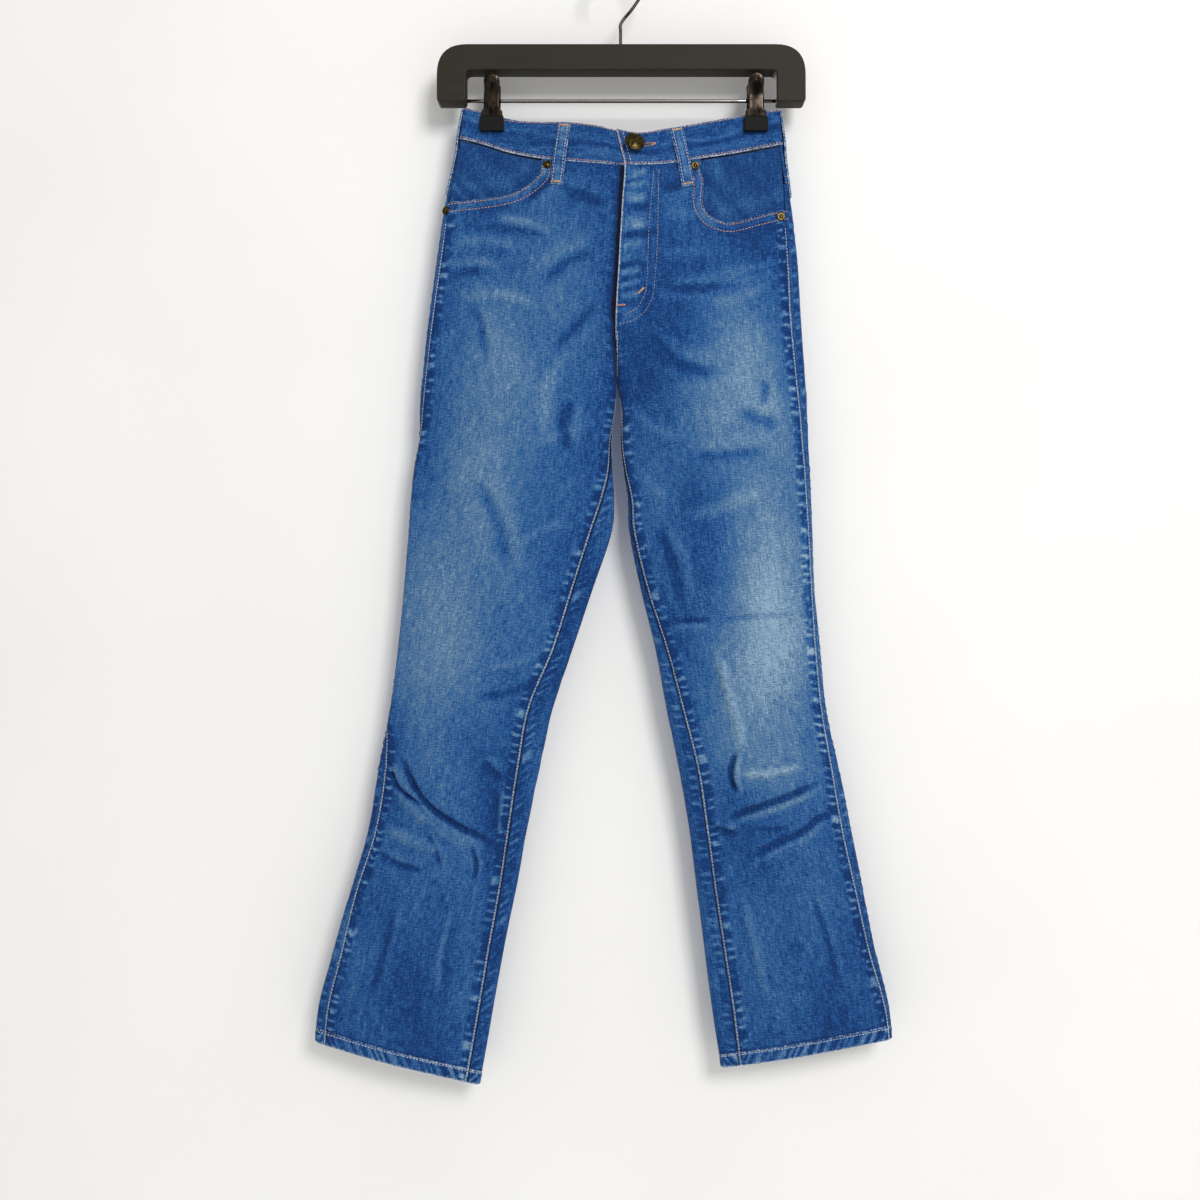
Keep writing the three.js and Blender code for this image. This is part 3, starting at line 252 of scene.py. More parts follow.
# Creases on the back, points in the frame's own x and z
BACK_CREASES = [
    (6, -4, 0.5, [(-234, -786), (-205, -800), (-170, -812), (-128, -838)]),
    (7, 3, 0, [(-230, -815), (-195, -838), (-150, -862)]),
    (5, -2.6, -0.5, [(-228, -846), (-196, -866), (-168, -872)]),
    (5, -2.6, 0.5, [(-100, -808), (-124, -822), (-150, -826)]),
    (6, -4, -0.5, [(70, -832), (110, -826), (150, -812), (198, -798)]),
    (7, 3, 0, [(84, -866), (140, -852), (192, -838)]),
    (5, -2.4, 0.4, [(206, -760), (176, -766), (148, -764)]),
    (5, -2.2, 0.4, [(96, -884), (130, -890), (166, -884)]),
    (8, -3, 0.4, [(-150, -438), (-96, -452), (-40, -470)]),
    (8, -3, -0.4, [(40, -470), (96, -450), (150, -434)]),
    (6, -1.6, 0, [(-46, -500), (-84, -492), (-128, -496)]),
    (6, -1.6, 0, [(46, -506), (88, -498), (132, -500)]),
    (6, 1.4, 0, [(-200, -600), (-150, -612), (-100, -610)]),
    (6, 1.4, 0, [(190, -640), (140, -652), (92, -648)]),
    (6, -1.3, 0, [(-250, -920), (-262, -980), (-276, -1040)]),
    (6, 1.3, 0, [(180, -920), (196, -980), (206, -1040)]),
]

# Wear: pale patches (x, z, half width, half height, how pale, 1 being the palest)
FRONT_WEAR = [
    (-112, -400, 60, 135, 0.42),
    (-150, -585, 58, 105, 0.42),
    (-184, -690, 44, 90, 0.5),
    (-140, -700, 30, 60, 0.12),
    (124, -390, 42, 66, 0.42),
    (84, -452, 40, 54, 0.32),
    (158, -470, 34, 60, 0.26),
    (144, -600, 52, 130, 0.56),
    (142, -705, 48, 84, 0.56),
    (158, -800, 44, 44, 0.36),
    (110, -780, 26, 40, 0.14),
    (40, -520, 20, 90, 0.12),
    (-205, -930, 60, 130, 0.13),
    (-150, -960, 14, 150, 0.1),
    (165, -940, 50, 130, 0.15),
    (190, -1010, 16, 90, 0.1),
    (-60, -520, 30, 100, 0.14),
    (-60, -280, 60, 60, 0.12),
    (14, -250, 16, 60, 0.12),
]
BACK_WEAR = [
    (-90, -350, 60, 66, 0.42),
    (90, -350, 60, 66, 0.42),
    (-120, -560, 60, 150, 0.4),
    (120, -560, 58, 150, 0.4),
    (-170, -780, 50, 90, 0.22),
    (140, -780, 50, 90, 0.22),
]
UNWORN = 0.15


def smooth(start, end, value):
    """0 at start, 1 at end, with a soft step between them."""
    w = np.clip((value - start) / (end - start), 0, 1)
    return w * w * (3 - 2 * w)


def mix(a, b, w):
    return a + (b - a) * w


def column(rows, key, name, value):
    """Smooth curve through a table's column: Catmull-Rom with the table's own spacing."""
    keys, values = rows[key], rows[name]
    slopes = np.empty(len(values))
    slopes[1:-1] = (values[2:] - values[:-2]) / (keys[2:] - keys[:-2])
    slopes[0] = (values[1] - values[0]) / (keys[1] - keys[0])
    slopes[-1] = (values[-1] - values[-2]) / (keys[-1] - keys[-2])
    v = np.clip(value, keys[0], keys[-1])
    i = np.clip(np.searchsorted(keys, v) - 1, 0, len(keys) - 2)
    span = keys[i + 1] - keys[i]
    w = (v - keys[i]) / span
    w2, w3 = w * w, w * w * w
    ends = (2 * w3 - 3 * w2 + 1) * values[i] + (3 * w2 - 2 * w3) * values[i + 1]
    return ends + (w3 - 2 * w2 + w) * slopes[i] * span + (w3 - w2) * slopes[i + 1] * span


def rise_z(level, x, back):
    """Height of a level above the fork: waist edge to waist seam, then waist seam to the fork."""
    top = np.where(back, column(WAIST_LINE, "x", "back_top", x), column(WAIST_LINE, "x", "top", x))
    seam = np.where(back, column(WAIST_LINE, "x", "back_seam", x), column(WAIST_LINE, "x", "seam", x))
    return np.where(level <= SEAM, mix(top, seam, level), mix(seam, CROTCH_Z, level - SEAM))


def edge_fold(turn, radius, width):
    """A quarter circle over the first 5% of the turn, then straight across to the width."""
    angle = np.pi / 2 * np.minimum(turn / FOLD_SHARE, 1)
    across = np.maximum(turn - FOLD_SHARE, 0) / (1 - FOLD_SHARE)
    return radius * (1 - np.cos(angle)) + (width - radius) * across, radius * np.sin(angle)


def leg_section(share, radius, width):
    """Outer edge to inner edge with a round fold at both."""
    inward, rise = edge_fold(np.minimum(share, 1 - share) * 2, radius, width / 2)
    return np.where(share < 0.5, inward, width - inward), rise


def half_depth(z, back):
    return np.where(back, column(DEPTH, "z", "back", z), column(DEPTH, "z", "front", z))


def body_point(leg, level, turn):
    """Above the fork: front and back bulge as a half sine from side to side, and at the waist
    as a cosine hump between the clips, blending into the leg's own section near the fork."""
    back, share = turn < 0, np.abs(turn)
    way = 1 if leg == "right" else -1
    other = "left" if leg == "right" else "right"
    edge_z = rise_z(level, SIDE_X[leg], back)
    outer_x = column(LEG_EDGE[leg], "z", "outer", edge_z)
    other_x = column(LEG_EDGE[other], "z", "outer", edge_z)
    inner_x = column(CENTRE_LINE, "z", "x", rise_z(level, 0, back))
    half = np.abs(inner_x - outer_x)
    radius = column(DEPTH, "z", "fold", edge_z)
    body_in, body_rise = edge_fold(share, radius, half)
    leg_in, leg_rise = leg_section(share, radius, half)
    body_x = outer_x + way * body_in
    join = smooth(1.74, 2, level)
    x = mix(body_x, outer_x + way * leg_in, join)
    z = rise_z(level, x, back)
    across = np.abs((body_x - outer_x) / (other_x - outer_x))
    reach = half_depth(z, back) - radius
    clip_edge = np.where(body_x < HANGER_X, CLIP_X["right"] + CLIP_WIDTH / 2, CLIP_X["left"] - CLIP_WIDTH / 2)
    hump = 0.5 + 0.5 * np.cos(np.pi * np.clip(body_x / clip_edge, 0, 1))
    bulge = mix(np.sin(np.pi * across), hump, smooth(1.6, 0.75, level))
    body_y = body_rise + reach * bulge
    leg_y = leg_rise + reach * np.sin(np.pi * leg_in / half)
    return np.stack([x, np.where(back, 1, -1) * mix(body_y, leg_y, join), z], -1)


def leg_point(leg, level, turn):
    """Below the fork: a flat tube, round at both edges and bulging as a half sine between."""
    back, share = turn < 0, np.abs(turn)
    way = 1 if leg == "right" else -1
    outer_z = mix(CROTCH_Z, HEM_Z[leg][0], level - CROTCH)
    inner_z = mix(CROTCH_Z, HEM_Z[leg][1], level - CROTCH)
    outer_x = column(LEG_EDGE[leg], "z", "outer", outer_z)
    width = np.abs(column(LEG_EDGE[leg], "z", "inner", inner_z) - outer_x)
    radius = column(DEPTH, "z", "fold", outer_z)
    inward, rise = leg_section(share, radius, width)
    across = inward / width
    z = mix(outer_z, inner_z, across)
    deep = rise + (half_depth(z, back) - radius) * np.sin(np.pi * across)
    return np.stack([outer_x + way * inward, np.where(back, 1, -1) * deep, z], -1)


def skin(leg, level, turn):
    """Smooth outer surface. Turn 0 is the outer edge, 1 the centre or inner edge by way of the
    front, -1 the same by way of the back; level 0 is the waist edge, 3 the hem."""
    level, turn = np.broadcast_arrays(np.asarray(level, float), np.asarray(turn, float))
    below = level >= CROTCH
    t = np.where(below, turn, np.clip(turn, -1, 1))
    t = np.where(t > 1, t - 2, np.where(t < -1, t + 2, t))
    points = np.empty(level.shape + (3,))
    for part, place in ((~below, body_point), (below, leg_point)):
        points[part] = place(leg, level[part], t[part])
    return points


def unit(vectors):
    return vectors / np.linalg.norm(vectors, axis=-1, keepdims=True)


def facing_out(leg, level, turn):
    """Outward normal of the smooth surface, from its differences down and round."""
    level, turn = np.broadcast_arrays(np.asarray(level, float), np.asarray(turn, float))
    step = 0.004
    above = level < CROTCH
    low = np.where(above, np.clip(level - step, 0, CROTCH), np.maximum(level - step, CROTCH))
    high = np.where(above, np.minimum(level + step, CROTCH - 1e-6), np.minimum(level + step, HEM))
    turn_low = np.where(above, np.maximum(turn - step, np.where(turn < 0, -1, -0.5)), turn - step)
    turn_high = np.where(above, np.minimum(turn + step, 1), turn + step)
    down = skin(leg, high, turn) - skin(leg, low, turn)
    across = skin(leg, level, turn_high) - skin(leg, level, turn_low)
    return unit(np.cross(down, across)) * (1 if leg == "right" else -1)


def turn_at(leg, level, start, step, distance):
    """Turn where the surface has gone a distance across from where it started, by halving."""
    origin = skin(leg, level, start)[..., 0]
    low, high = np.zeros_like(level), np.full_like(level, 0.45)
    for _ in range(24):
        middle = (low + high) / 2
        short = np.abs(skin(leg, level, start + step * middle)[..., 0] - origin) < distance
        low, high = np.where(short, middle, low), np.where(short, high, middle)
    return start + step * (low + high) / 2


def side_turn(leg, level):
    """Turn of the side seam, which lies a few millimetres in front of or behind the edge."""
    z = np.where(level < CROTCH, rise_z(level, SIDE_X[leg], False), mix(CROTCH_Z, HEM_Z[leg][0], level - CROTCH))
    offset = column(LEG_EDGE[leg], "z", "side", z)
    return turn_at(leg, level, 0, np.where(offset < 0, -1, 1), np.abs(offset))


def inseam_turn(leg, level):
    """Turn of the inseam: the inner edge, or a few millimetres in front of it lower down."""
    z = mix(CROTCH_Z, HEM_Z[leg][1], level - CROTCH)
    offset = np.maximum(column(LEG_EDGE[leg], "z", "inseam", z), 0)
    return np.where(level <= CROTCH, 1, turn_at(leg, level, 1, -1, offset))


def turn_of_x(leg, level, x, back):
    """Turn where a level crosses an x, by halving."""
    sign = -1 if back else 1
    level, x = np.broadcast_arrays(np.asarray(level, float), np.asarray(x, float))
    low, high = np.zeros(level.shape), np.ones(level.shape)
    for _ in range(26):
        middle = (low + high) / 2
        here = skin(leg, level, sign * middle)[..., 0]
        short = here < x if leg == "right" else here > x
        low, high = np.where(short, middle, low), np.where(short, high, middle)
    return sign * (low + high) / 2


def place_of(leg, x, z, back):
    """Level and turn of the surface point at x and z above the fork, by halving."""
    x, z = np.broadcast_arrays(np.asarray(x, float), np.asarray(z, float))
    low, high = np.zeros(x.shape), np.full(x.shape, CROTCH - 1e-4)
    for _ in range(26):
        middle = (low + high) / 2
        short = rise_z(middle, x, back) > z
        low, high = np.where(short, middle, low), np.where(short, high, middle)
    level = (low + high) / 2
    return level, turn_of_x(leg, level, x, back)


def shifted(leg, level, turn, distance):
    """Turn moved along the section by a distance in millimetres."""
    step = 0.001
    across = skin(leg, level, turn + step) - skin(leg, level, turn - step)
    return turn + distance * 2 * step / np.maximum(np.linalg.norm(across, axis=-1), 0.04)


def rounded_line(points, steps=6):
    """Catmull-Rom curve through the points, each span in equal steps."""
    p = np.asarray(points, float)
    p = np.concatenate([2 * p[:1] - p[1:2], p, 2 * p[-1:] - p[-2:-1]])
    w = np.linspace(0, 1, steps, endpoint=False)[:, None]
    spans = []
    for a, b, c, d in zip(p[:-3], p[1:-2], p[2:-1], p[3:]):
        m, n = (c - a) / 2, (d - b) / 2
        spans.append(b + w * (m + w * (3 * (c - b) - 2 * m - n + w * (2 * (b - c) + m + n))))
    return np.concatenate([*spans, p[-2:-1]])


def beside(line, x, z):
    """Signed distance across a line (positive on its left), share along it, and the step back to it."""
    a, d = line[:-1], np.diff(line, axis=0)
    length = np.hypot(*d.T)
    ox, oz = x[:, None] - a[:, 0], z[:, None] - a[:, 1]
    t = np.clip((ox * d[:, 0] + oz * d[:, 1]) / length**2, 0, 1)
    ox, oz = ox - t * d[:, 0], oz - t * d[:, 1]
    away = np.hypot(ox, oz)
    near = away.argmin(1)
    pick = np.arange(len(x)), near
    left = d[near, 0] * oz[pick] - d[near, 1] * ox[pick]
    start = np.concatenate([[0], np.cumsum(length)[:-1]])
    along = (start[near] + t[pick] * length[near]) / length.sum()
    return np.where(left < 0, -1, 1) * away[pick], along, np.stack([-ox[pick], -oz[pick]], -1)


CREASE_WIDTH = {"rise": 0.85, "leg": 0.5}
CREASE_HEIGHT = {"rise": 1.35, "leg": 1.2}


def crease_sum(creases, x, z):
    """Sum of soft bars: height times a bell curve across, with a lower bell of the other sign
    beside it, fading towards both ends."""
    total = np.zeros(x.shape)
    for wide, height, side, points in creases:
        line = rounded_line(points)
        zone = "rise" if line[:, 1].mean() > -600 else "leg"
        width = CREASE_WIDTH[zone] * wide
        room = 5 * width
        (x0, z0), (x1, z1) = line.min(0) - room, line.max(0) + room
        near = (x > x0) & (x < x1) & (z > z0) & (z < z1)
        if not near.any():
            continue
        across, along, _ = beside(line, x[near], z[near])
        ends = smooth(0, 0.28, along) * smooth(1, 0.7, along)
        bell = np.exp(-((across / width) ** 2))
        if side:
            centre = np.sign(side) * 2 * width
            bell = bell - abs(side) * np.exp(-(((across - centre) / (1.3 * width)) ** 2))
        total[near] += CREASE_HEIGHT[zone] * height * ends * bell
    return total


CREASES = {False: [(w, h, s, seen(points)) for w, h, s, points in FRONT_CREASES], True: BACK_CREASES}
WEAR = {False: FRONT_WEAR, True: BACK_WEAR}


def ripple(x, z, seed):
    """Slow unevenness of hanging cloth: three crossing waves, a fraction of a millimetre high."""
    return (
        0.45 * np.sin(x / 21 + z / 87 + seed)
        + 0.35 * np.sin(x / 34 - z / 49 + 2.3 * seed)
        + 0.2 * np.sin(x / 13 + z / 31 + 4.1 * seed)
    )


def relief(points, back):
    """Height of the creases and of the slow unevenness over the smooth surface."""
    shape = points.shape[:-1]
    x, z = points[..., 0].ravel(), points[..., 2].ravel()
    back = np.broadcast_to(back, shape).ravel()
    high = np.zeros(x.shape)
    for side in (False, True):
        part = back == side
        calm = smooth(-210, -250, z[part])
        high[part] = crease_sum(CREASES[side], x[part], z[part]) + ripple(x[part], z[part], 1 + side) * 0.7 * calm
    return high.reshape(shape)


def fading_and_crease_shade(points, back, high):
    """How pale the denim is, 0 to 1: faded in bell-shaped patches, with crease ridges paler where they wear and crease
    troughs darker with painted shade.
    """
    x, z = points[..., 0], points[..., 2]
    pale = np.full(x.shape, UNWORN)
    for side in (False, True):
        part = np.broadcast_to(back, x.shape) == side
        for cx, cz, wide, tall, much in WEAR[side]:
            bell = np.exp(-(((x - cx) / wide) ** 2) - ((z - cz) / tall) ** 2)
            pale = np.where(part, pale + much * bell * (1 - 0.45 * pale), pale)
    # Crease ridges are paler from wear; crease troughs get painted shade.
    return np.clip(pale + np.where(high < 0, 0.34 * np.tanh(high / 1.6), 0.24 * np.tanh(high / 1.3)), 0, 1)


def on_cloth(leg, level, turn, lift):
    """Points a height off the creased surface, and the way out there."""
    smooth_points = skin(leg, level, turn)
    out = facing_out(leg, level, turn)
    high = relief(smooth_points, np.broadcast_to(np.asarray(turn) < 0, smooth_points.shape[:-1]))
    return smooth_points + out * np.asarray(high + lift)[..., None], out


def uneven(s, period, seed):
    """A wave along a seam whose spacing and height keep changing."""
    phase = 2 * np.pi * s / period
    wander = 1.9 * np.sin(phase / 5.3 + seed) + 1.1 * np.sin(phase / 2.7 + 2 * seed)
    return np.sin(phase + wander) * (0.7 + 0.3 * np.sin(phase / 7.9 + 3 * seed))


def edge_drop(distance, radius):
    """How far a rounded edge falls away, by distance from the edge."""
    d = np.clip(distance / radius, 0, 1)
    return radius * (1 - np.sqrt(np.maximum(1 - (1 - d) ** 2, 0)))


def lengths(points, axis):
    """Distance run along a grid's rows or columns, from the first point."""
    step = np.linalg.norm(np.diff(points, axis=axis), axis=-1)
    start = np.zeros_like(np.take(step, [0], axis=axis))
    return np.concatenate([start, np.cumsum(step, axis=axis)], axis=axis)


class Sheet:
    """A grid of points on the cloth with its way out and its distances from the four edges."""

    def __init__(self, points, out):
        self.points, self.out = points, out
        self.left, self.top = lengths(points, 1), lengths(points, 0)
        self.right, self.bottom = self.left[:, -1:] - self.left, self.top[-1:] - self.top
        self.edge = np.minimum.reduce([self.left, self.right, self.top, self.bottom])

    def line(self, edge, distance):
        """The line at a distance from an edge, as points and ways out."""
        gap = {"left": self.left, "right": self.right, "top": self.top.T, "bottom": self.bottom.T}[edge]
        turned = edge in ("top", "bottom")
        grids = [g.transpose(1, 0, 2) if turned else g for g in (self.points, self.out)]
        if edge in ("right", "bottom"):
            gap, grids = gap[:, ::-1], [g[:, ::-1] for g in grids]
        rows = np.arange(len(gap))
        j = np.clip((gap < distance).sum(1), 1, gap.shape[1] - 1)
        w = (distance - gap[rows, j - 1]) / np.maximum(gap[rows, j] - gap[rows, j - 1], 1e-9)
        return [mix(g[rows, j - 1], g[rows, j], np.clip(w, 0, 1)[:, None]) for g in grids]


# Meshes
def put(name, points, faces, material, slot, nodes=(), uv=None, **attributes):
    """A piece from points in millimetres and triangles, riding on the garment's one body."""
    mesh = bpy.data.meshes.new(name)
    mesh.vertices.add(len(points))
    mesh.vertices.foreach_set("co", (np.asarray(points) * MM).astype(np.float32).ravel())
    mesh.loops.add(faces.size)
    mesh.loops.foreach_set("vertex_index", faces.astype(np.int32).ravel())
    mesh.polygons.add(len(faces))
    mesh.polygons.foreach_set("loop_start", np.arange(0, faces.size, 3, dtype=np.int32))
    mesh.polygons.foreach_set("use_smooth", np.ones(len(faces), bool))
    if uv is not None:
        layer = mesh.uv_layers.new(name="grain")
        layer.data.foreach_set("uv", np.asarray(uv)[faces.ravel()].astype(np.float32).ravel())
    for key, values in attributes.items():
        attribute = mesh.attributes.new(key, "FLOAT", "POINT")
        attribute.data.foreach_set("value", np.asarray(values, np.float32).ravel())
    mesh.materials.append(material)
    mesh.update(calc_edges=True)
    mesh.validate()
    piece = bpy.data.objects.new(name, mesh)
    bpy.context.scene.collection.objects.link(piece)
    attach(piece, "root")
    if nodes:
        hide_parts(*nodes)
    return piece


def grid_faces(rows, columns):
    """Two triangles for each cell of a grid."""
    i, j = np.meshgrid(np.arange(rows - 1), np.arange(columns - 1), indexing="ij")
    a = (i * columns + j).ravel()
    b, c, d = a + columns, a + columns + 1, a + 1
    return np.concatenate([np.stack([a, b, c], 1), np.stack([a, c, d], 1)])


def faced_out(points, faces):
    """The faces, turned if they enclose a negative volume."""
    a, b, c = (points[faces[:, k]] for k in range(3))
    inside_out = np.einsum("ij,ij->i", a, np.cross(b, c)).sum() < 0
    return faces[:, ::-1] if inside_out else faces


def wall(outer, inner, keep=None):
    """Points, faces and the used points' places of a closed wall between an outer and an inner
    grid, with a rim along every open edge."""
    rows, columns = outer.shape[:2]
    count = rows * columns
    faces = grid_faces(rows, columns)
    if keep is not None:
        faces = faces[keep.ravel()[faces].all(1)]
    edges = np.concatenate([faces[:, [0, 1]], faces[:, [1, 2]], faces[:, [2, 0]]])
    codes = edges[:, 0] * count + edges[:, 1]
    a, b = edges[~np.isin(codes, edges[:, 1] * count + edges[:, 0])].T
    rim = np.concatenate([np.stack([b, a, a + count], 1), np.stack([b, a + count, b + count], 1)])
    faces = np.concatenate([faces, faces[:, ::-1] + count, rim])
    points = np.concatenate([outer.reshape(-1, 3), inner.reshape(-1, 3)])
    used, faces = np.unique(faces, return_inverse=True)
    faces = faces.reshape(-1, 3)
    return points[used], faced_out(points[used], faces), used


def shell(node, outer, inner, material, slot, keep=None, uv=None, **attributes):
    """A closed wall as the cloth that replaces a node."""
    points, faces, used = wall(outer, inner, keep)
    both = {k: np.concatenate([v.ravel(), v.ravel()])[used] for k, v in attributes.items()}
    if uv is not None:
        uv = np.concatenate([uv.reshape(-1, 2)] * 2)[used]
    return put(f"cloth_{node}", points, faces, material, slot, [node], uv, **both)


# Materials
def colour(code):
    """Linear colour of an sRGB hex value."""
    s = np.array([int(code[i : i + 2], 16) for i in (1, 3, 5)]) / 255
    linear = np.where(s <= 0.04045, s / 12.92, ((s + 0.055) / 1.055) ** 2.4)
    return (*linear.tolist(), 1.0)


def add_node(tree, kind, inputs=None, **settings):
    """Adds a node with its settings; inputs gives each socket a value or another node's output."""
    made = tree.nodes.new(kind)
    for key, value in settings.items():
        setattr(made, key, value)
    for key, value in (inputs or {}).items():
        if isinstance(value, bpy.types.NodeSocket):
            tree.links.new(value, made.inputs[key])
        else:
            made.inputs[key].default_value = value
    return made


def new_material(name, **uniform):
    """An empty material with its surface shader linked to its output."""
    material = bpy.data.materials.new(name)
    material.use_nodes = True
    tree = material.node_tree
    tree.nodes.clear()
    shader = add_node(tree, "ShaderNodeBsdfPrincipled")
    add_node(tree, "ShaderNodeOutputMaterial", {"Surface": shader.outputs[0]})
    for key, value in uniform.items():
        shader.inputs[key.replace("_", " ")].default_value = value
    return material, tree, shader


def ramp(tree, value, stops):
    """A colour ramp with colours at their places."""
    node = add_node(tree, "ShaderNodeValToRGB", {"Fac": value})
    for k, (place, code) in enumerate(stops):
        elements = node.color_ramp.elements
        stop = elements[k] if k < 2 else elements.new(place)
        stop.position, stop.color = place, colour(code)
    return node.outputs[0]


def spots(tree, vector, sizes, detail=1.0):
    """Noise with spots of the given sizes in millimetres, spread to -0.5 to 0.5."""
    scale = tuple(1 / (size * MM) for size in sizes)
    scaled = add_node(tree, "ShaderNodeVectorMath", {0: vector, 1: scale}, operation="MULTIPLY")
    inputs = {"Vector": scaled.outputs[0], "Scale": 1.0, "Detail": detail}
    noise = add_node(tree, "ShaderNodeTexNoise", inputs)
    spread = {"Value": noise.outputs[0], "From Min": 0.28, "From Max": 0.72, "To Min": -0.5, "To Max": 0.5}
    return add_node(tree, "ShaderNodeMapRange", spread).outputs[0]


def weighed(tree, value, factor, plus):
    """The value times the factor, plus another value."""
    inputs = {0: value, 1: factor, 2: plus}
    return add_node(tree, "ShaderNodeMath", inputs, operation="MULTIPLY_ADD").outputs[0]


def bumped(tree, shader, height, strength, distance):
    inputs = {"Height": height, "Strength": strength, "Distance": distance * MM}
    bump = add_node(tree, "ShaderNodeBump", inputs)
    tree.links.new(bump.outputs[0], shader.inputs["Normal"])


def denim(name, stops):
    """Washed indigo stretch denim, 3/1 twill of slub yarn: matt, with streaks along the leg where thick yarns kept or
    lost their dye, paler where it is worn, darker where shade is painted into its tone, white threads at worn edges."""
    material, tree, shader = new_material(name, Roughness=0.92, Sheen_Weight=0.05, Sheen_Roughness=0.5)
    shader.inputs["Specular IOR Level"].default_value = 0.15
    grain = add_node(tree, "ShaderNodeUVMap", uv_map="grain").outputs[0]
    fine = spots(tree, grain, (1.1, 8, 1), 2)
    tone = add_node(tree, "ShaderNodeAttribute", attribute_name="pale").outputs["Fac"]
    for streak, strength in (
        (fine, 0.34),
        (spots(tree, grain, (2.4, 40, 1)), 0.14),
        (spots(tree, grain, (6, 1.0, 1), 1), 0.36),
        (spots(tree, grain, (1.1, 1.4, 1), 1), 0.34),
        (spots(tree, grain, (8, 16, 1), 3), 0.16),
        (spots(tree, grain, (40, 60, 1), 2), 0.08),
    ):
        tone = weighed(tree, streak, strength, tone)
    worn = add_node(tree, "ShaderNodeAttribute", attribute_name="worn").outputs["Fac"]
    rubbed = weighed(tree, spots(tree, grain, (1.6, 2.4, 1), 1), 0.6, worn)
    rubbed = add_node(tree, "ShaderNodeMapRange", {"Value": rubbed, "From Min": 0.25, "From Max": 0.9})
    mixed = {0: rubbed.outputs[0], 6: ramp(tree, tone, stops), 7: colour("#c3ced9")}
    base = add_node(tree, "ShaderNodeMix", mixed, data_type="RGBA")
    # A tone below zero marks a place that light hardly reaches, under an edge or in a fork
    hidden = add_node(tree, "ShaderNodeMapRange", {"Value": tone, "From Min": -0.3, "From Max": -0.9})
    mixed = {0: hidden.outputs[0], 6: base.outputs[2], 7: colour("#050d22")}
    base = add_node(tree, "ShaderNodeMix", mixed, data_type="RGBA")
    tree.links.new(base.outputs[2], shader.inputs["Base Color"])
    # Twill ribs are 0.6 mm apart on real denim; drawn 1.8 mm apart so that they show
    ribs = {"Vector": grain, "Scale": 2 * np.pi / (20 * 1.8 * MM) / 2**0.5, "Distortion": 0.8, "Detail": 1.0}
    twill = add_node(tree, "ShaderNodeTexWave", ribs, bands_direction="DIAGONAL").outputs["Fac"]
    bumped(tree, shader, weighed(tree, fine, 1.2, twill), 0.3, 0.35)
    return material


def mottled(name, stops, sizes, roughness, metallic=0.0, uneven_rough=0.1, bump=0.1, coat=0.0):
    """A hard surface or thread whose colour, roughness and height wander a little."""
    material, tree, shader = new_material(name, Metallic=metallic, Coat_Weight=coat, Coat_Roughness=0.3)
    place = add_node(tree, "ShaderNodeTexCoord").outputs["Object"]
    patchy = spots(tree, place, sizes, 3)
    tree.links.new(ramp(tree, weighed(tree, patchy, 1.0, 0.5), stops), shader.inputs["Base Color"])
    tree.links.new(weighed(tree, patchy, uneven_rough, roughness), shader.inputs["Roughness"])
    bumped(tree, shader, patchy, 0.4, bump)
    return material


def painted_reflection_wire(name, stops, roughness):
    """Bright plated wire with a painted reflection in its colour: a dark line above and below a light middle, by the
    way that its side faces, standing in for the dark board over it and the cloth under it mirrored in the wire."""
    material, tree, shader = new_material(name, Metallic=1.0, Roughness=roughness)
    way = add_node(tree, "ShaderNodeNewGeometry").outputs["Normal"]
    up = add_node(tree, "ShaderNodeSeparateXYZ", {0: way}).outputs[2]
    place = add_node(tree, "ShaderNodeTexCoord").outputs["Object"]
    up = weighed(tree, up, 0.5, weighed(tree, spots(tree, place, (3, 3, 3)), 0.05, 0.5))
    # Painted reflection: the colour ramp runs on the height of the surface's way out.
    tree.links.new(ramp(tree, up, stops), shader.inputs["Base Color"])
    return material


# Faded cloth of the outside, and the less faded cloth behind the mouths and the fly
DENIM = denim(
    "washed_stretch_denim",
    [(0.0, "#082d60"), (0.2, "#174681"), (0.4, "#2e5b8c"), (0.65, "#507091"), (0.85, "#6c89a3"), (1.0, "#839eb3")],
)
DENIM_DARK = denim(
    "less_washed_denim",
    [(0.0, "#072c5e"), (0.25, "#153f76"), (0.5, "#2b5987"), (1.0, "#6f8fab")],
)
# Polyester-wrapped cotton thread, copper tan, gone pale where it rubs
THREAD = mottled("tan_topstitching_thread", [(0.2, "#a9754c"), (0.8, "#d9ab80")], (2, 2, 6), 0.75)
THREAD_PALE = mottled("faded_topstitching_thread", [(0.2, "#93a3b1"), (0.8, "#cbcdc6")], (2, 2, 6), 0.8)
THREAD_BLUE = mottled("rubbed_topstitching_thread", [(0.2, "#5f7492"), (0.8, "#a3978c")], (2, 9, 9), 0.8)
# Antique brass, darkened in its hollows by the wash and rubbed brighter on its crown, drawn here as dark and bright
# patches at random
BRASS = mottled("antique_brass", [(0.2, "#1f1a0e"), (0.8, "#554828")], (2.4, 2.4, 2.4), 0.3, 1.0, 0.2)
# Thin dark nickel plating with faint finger smears
NICKEL = mottled("black_nickel", [(0.2, "#1a1613"), (0.8, "#4a4038")], (7, 7, 16), 0.17, 1.0, 0.12, 0.01)
# Moulded rubber with a dull skin
RUBBER = mottled("black_rubber", [(0.2, "#030304"), (0.8, "#09090a")], (3, 3, 3), 0.7, bump=0.05)
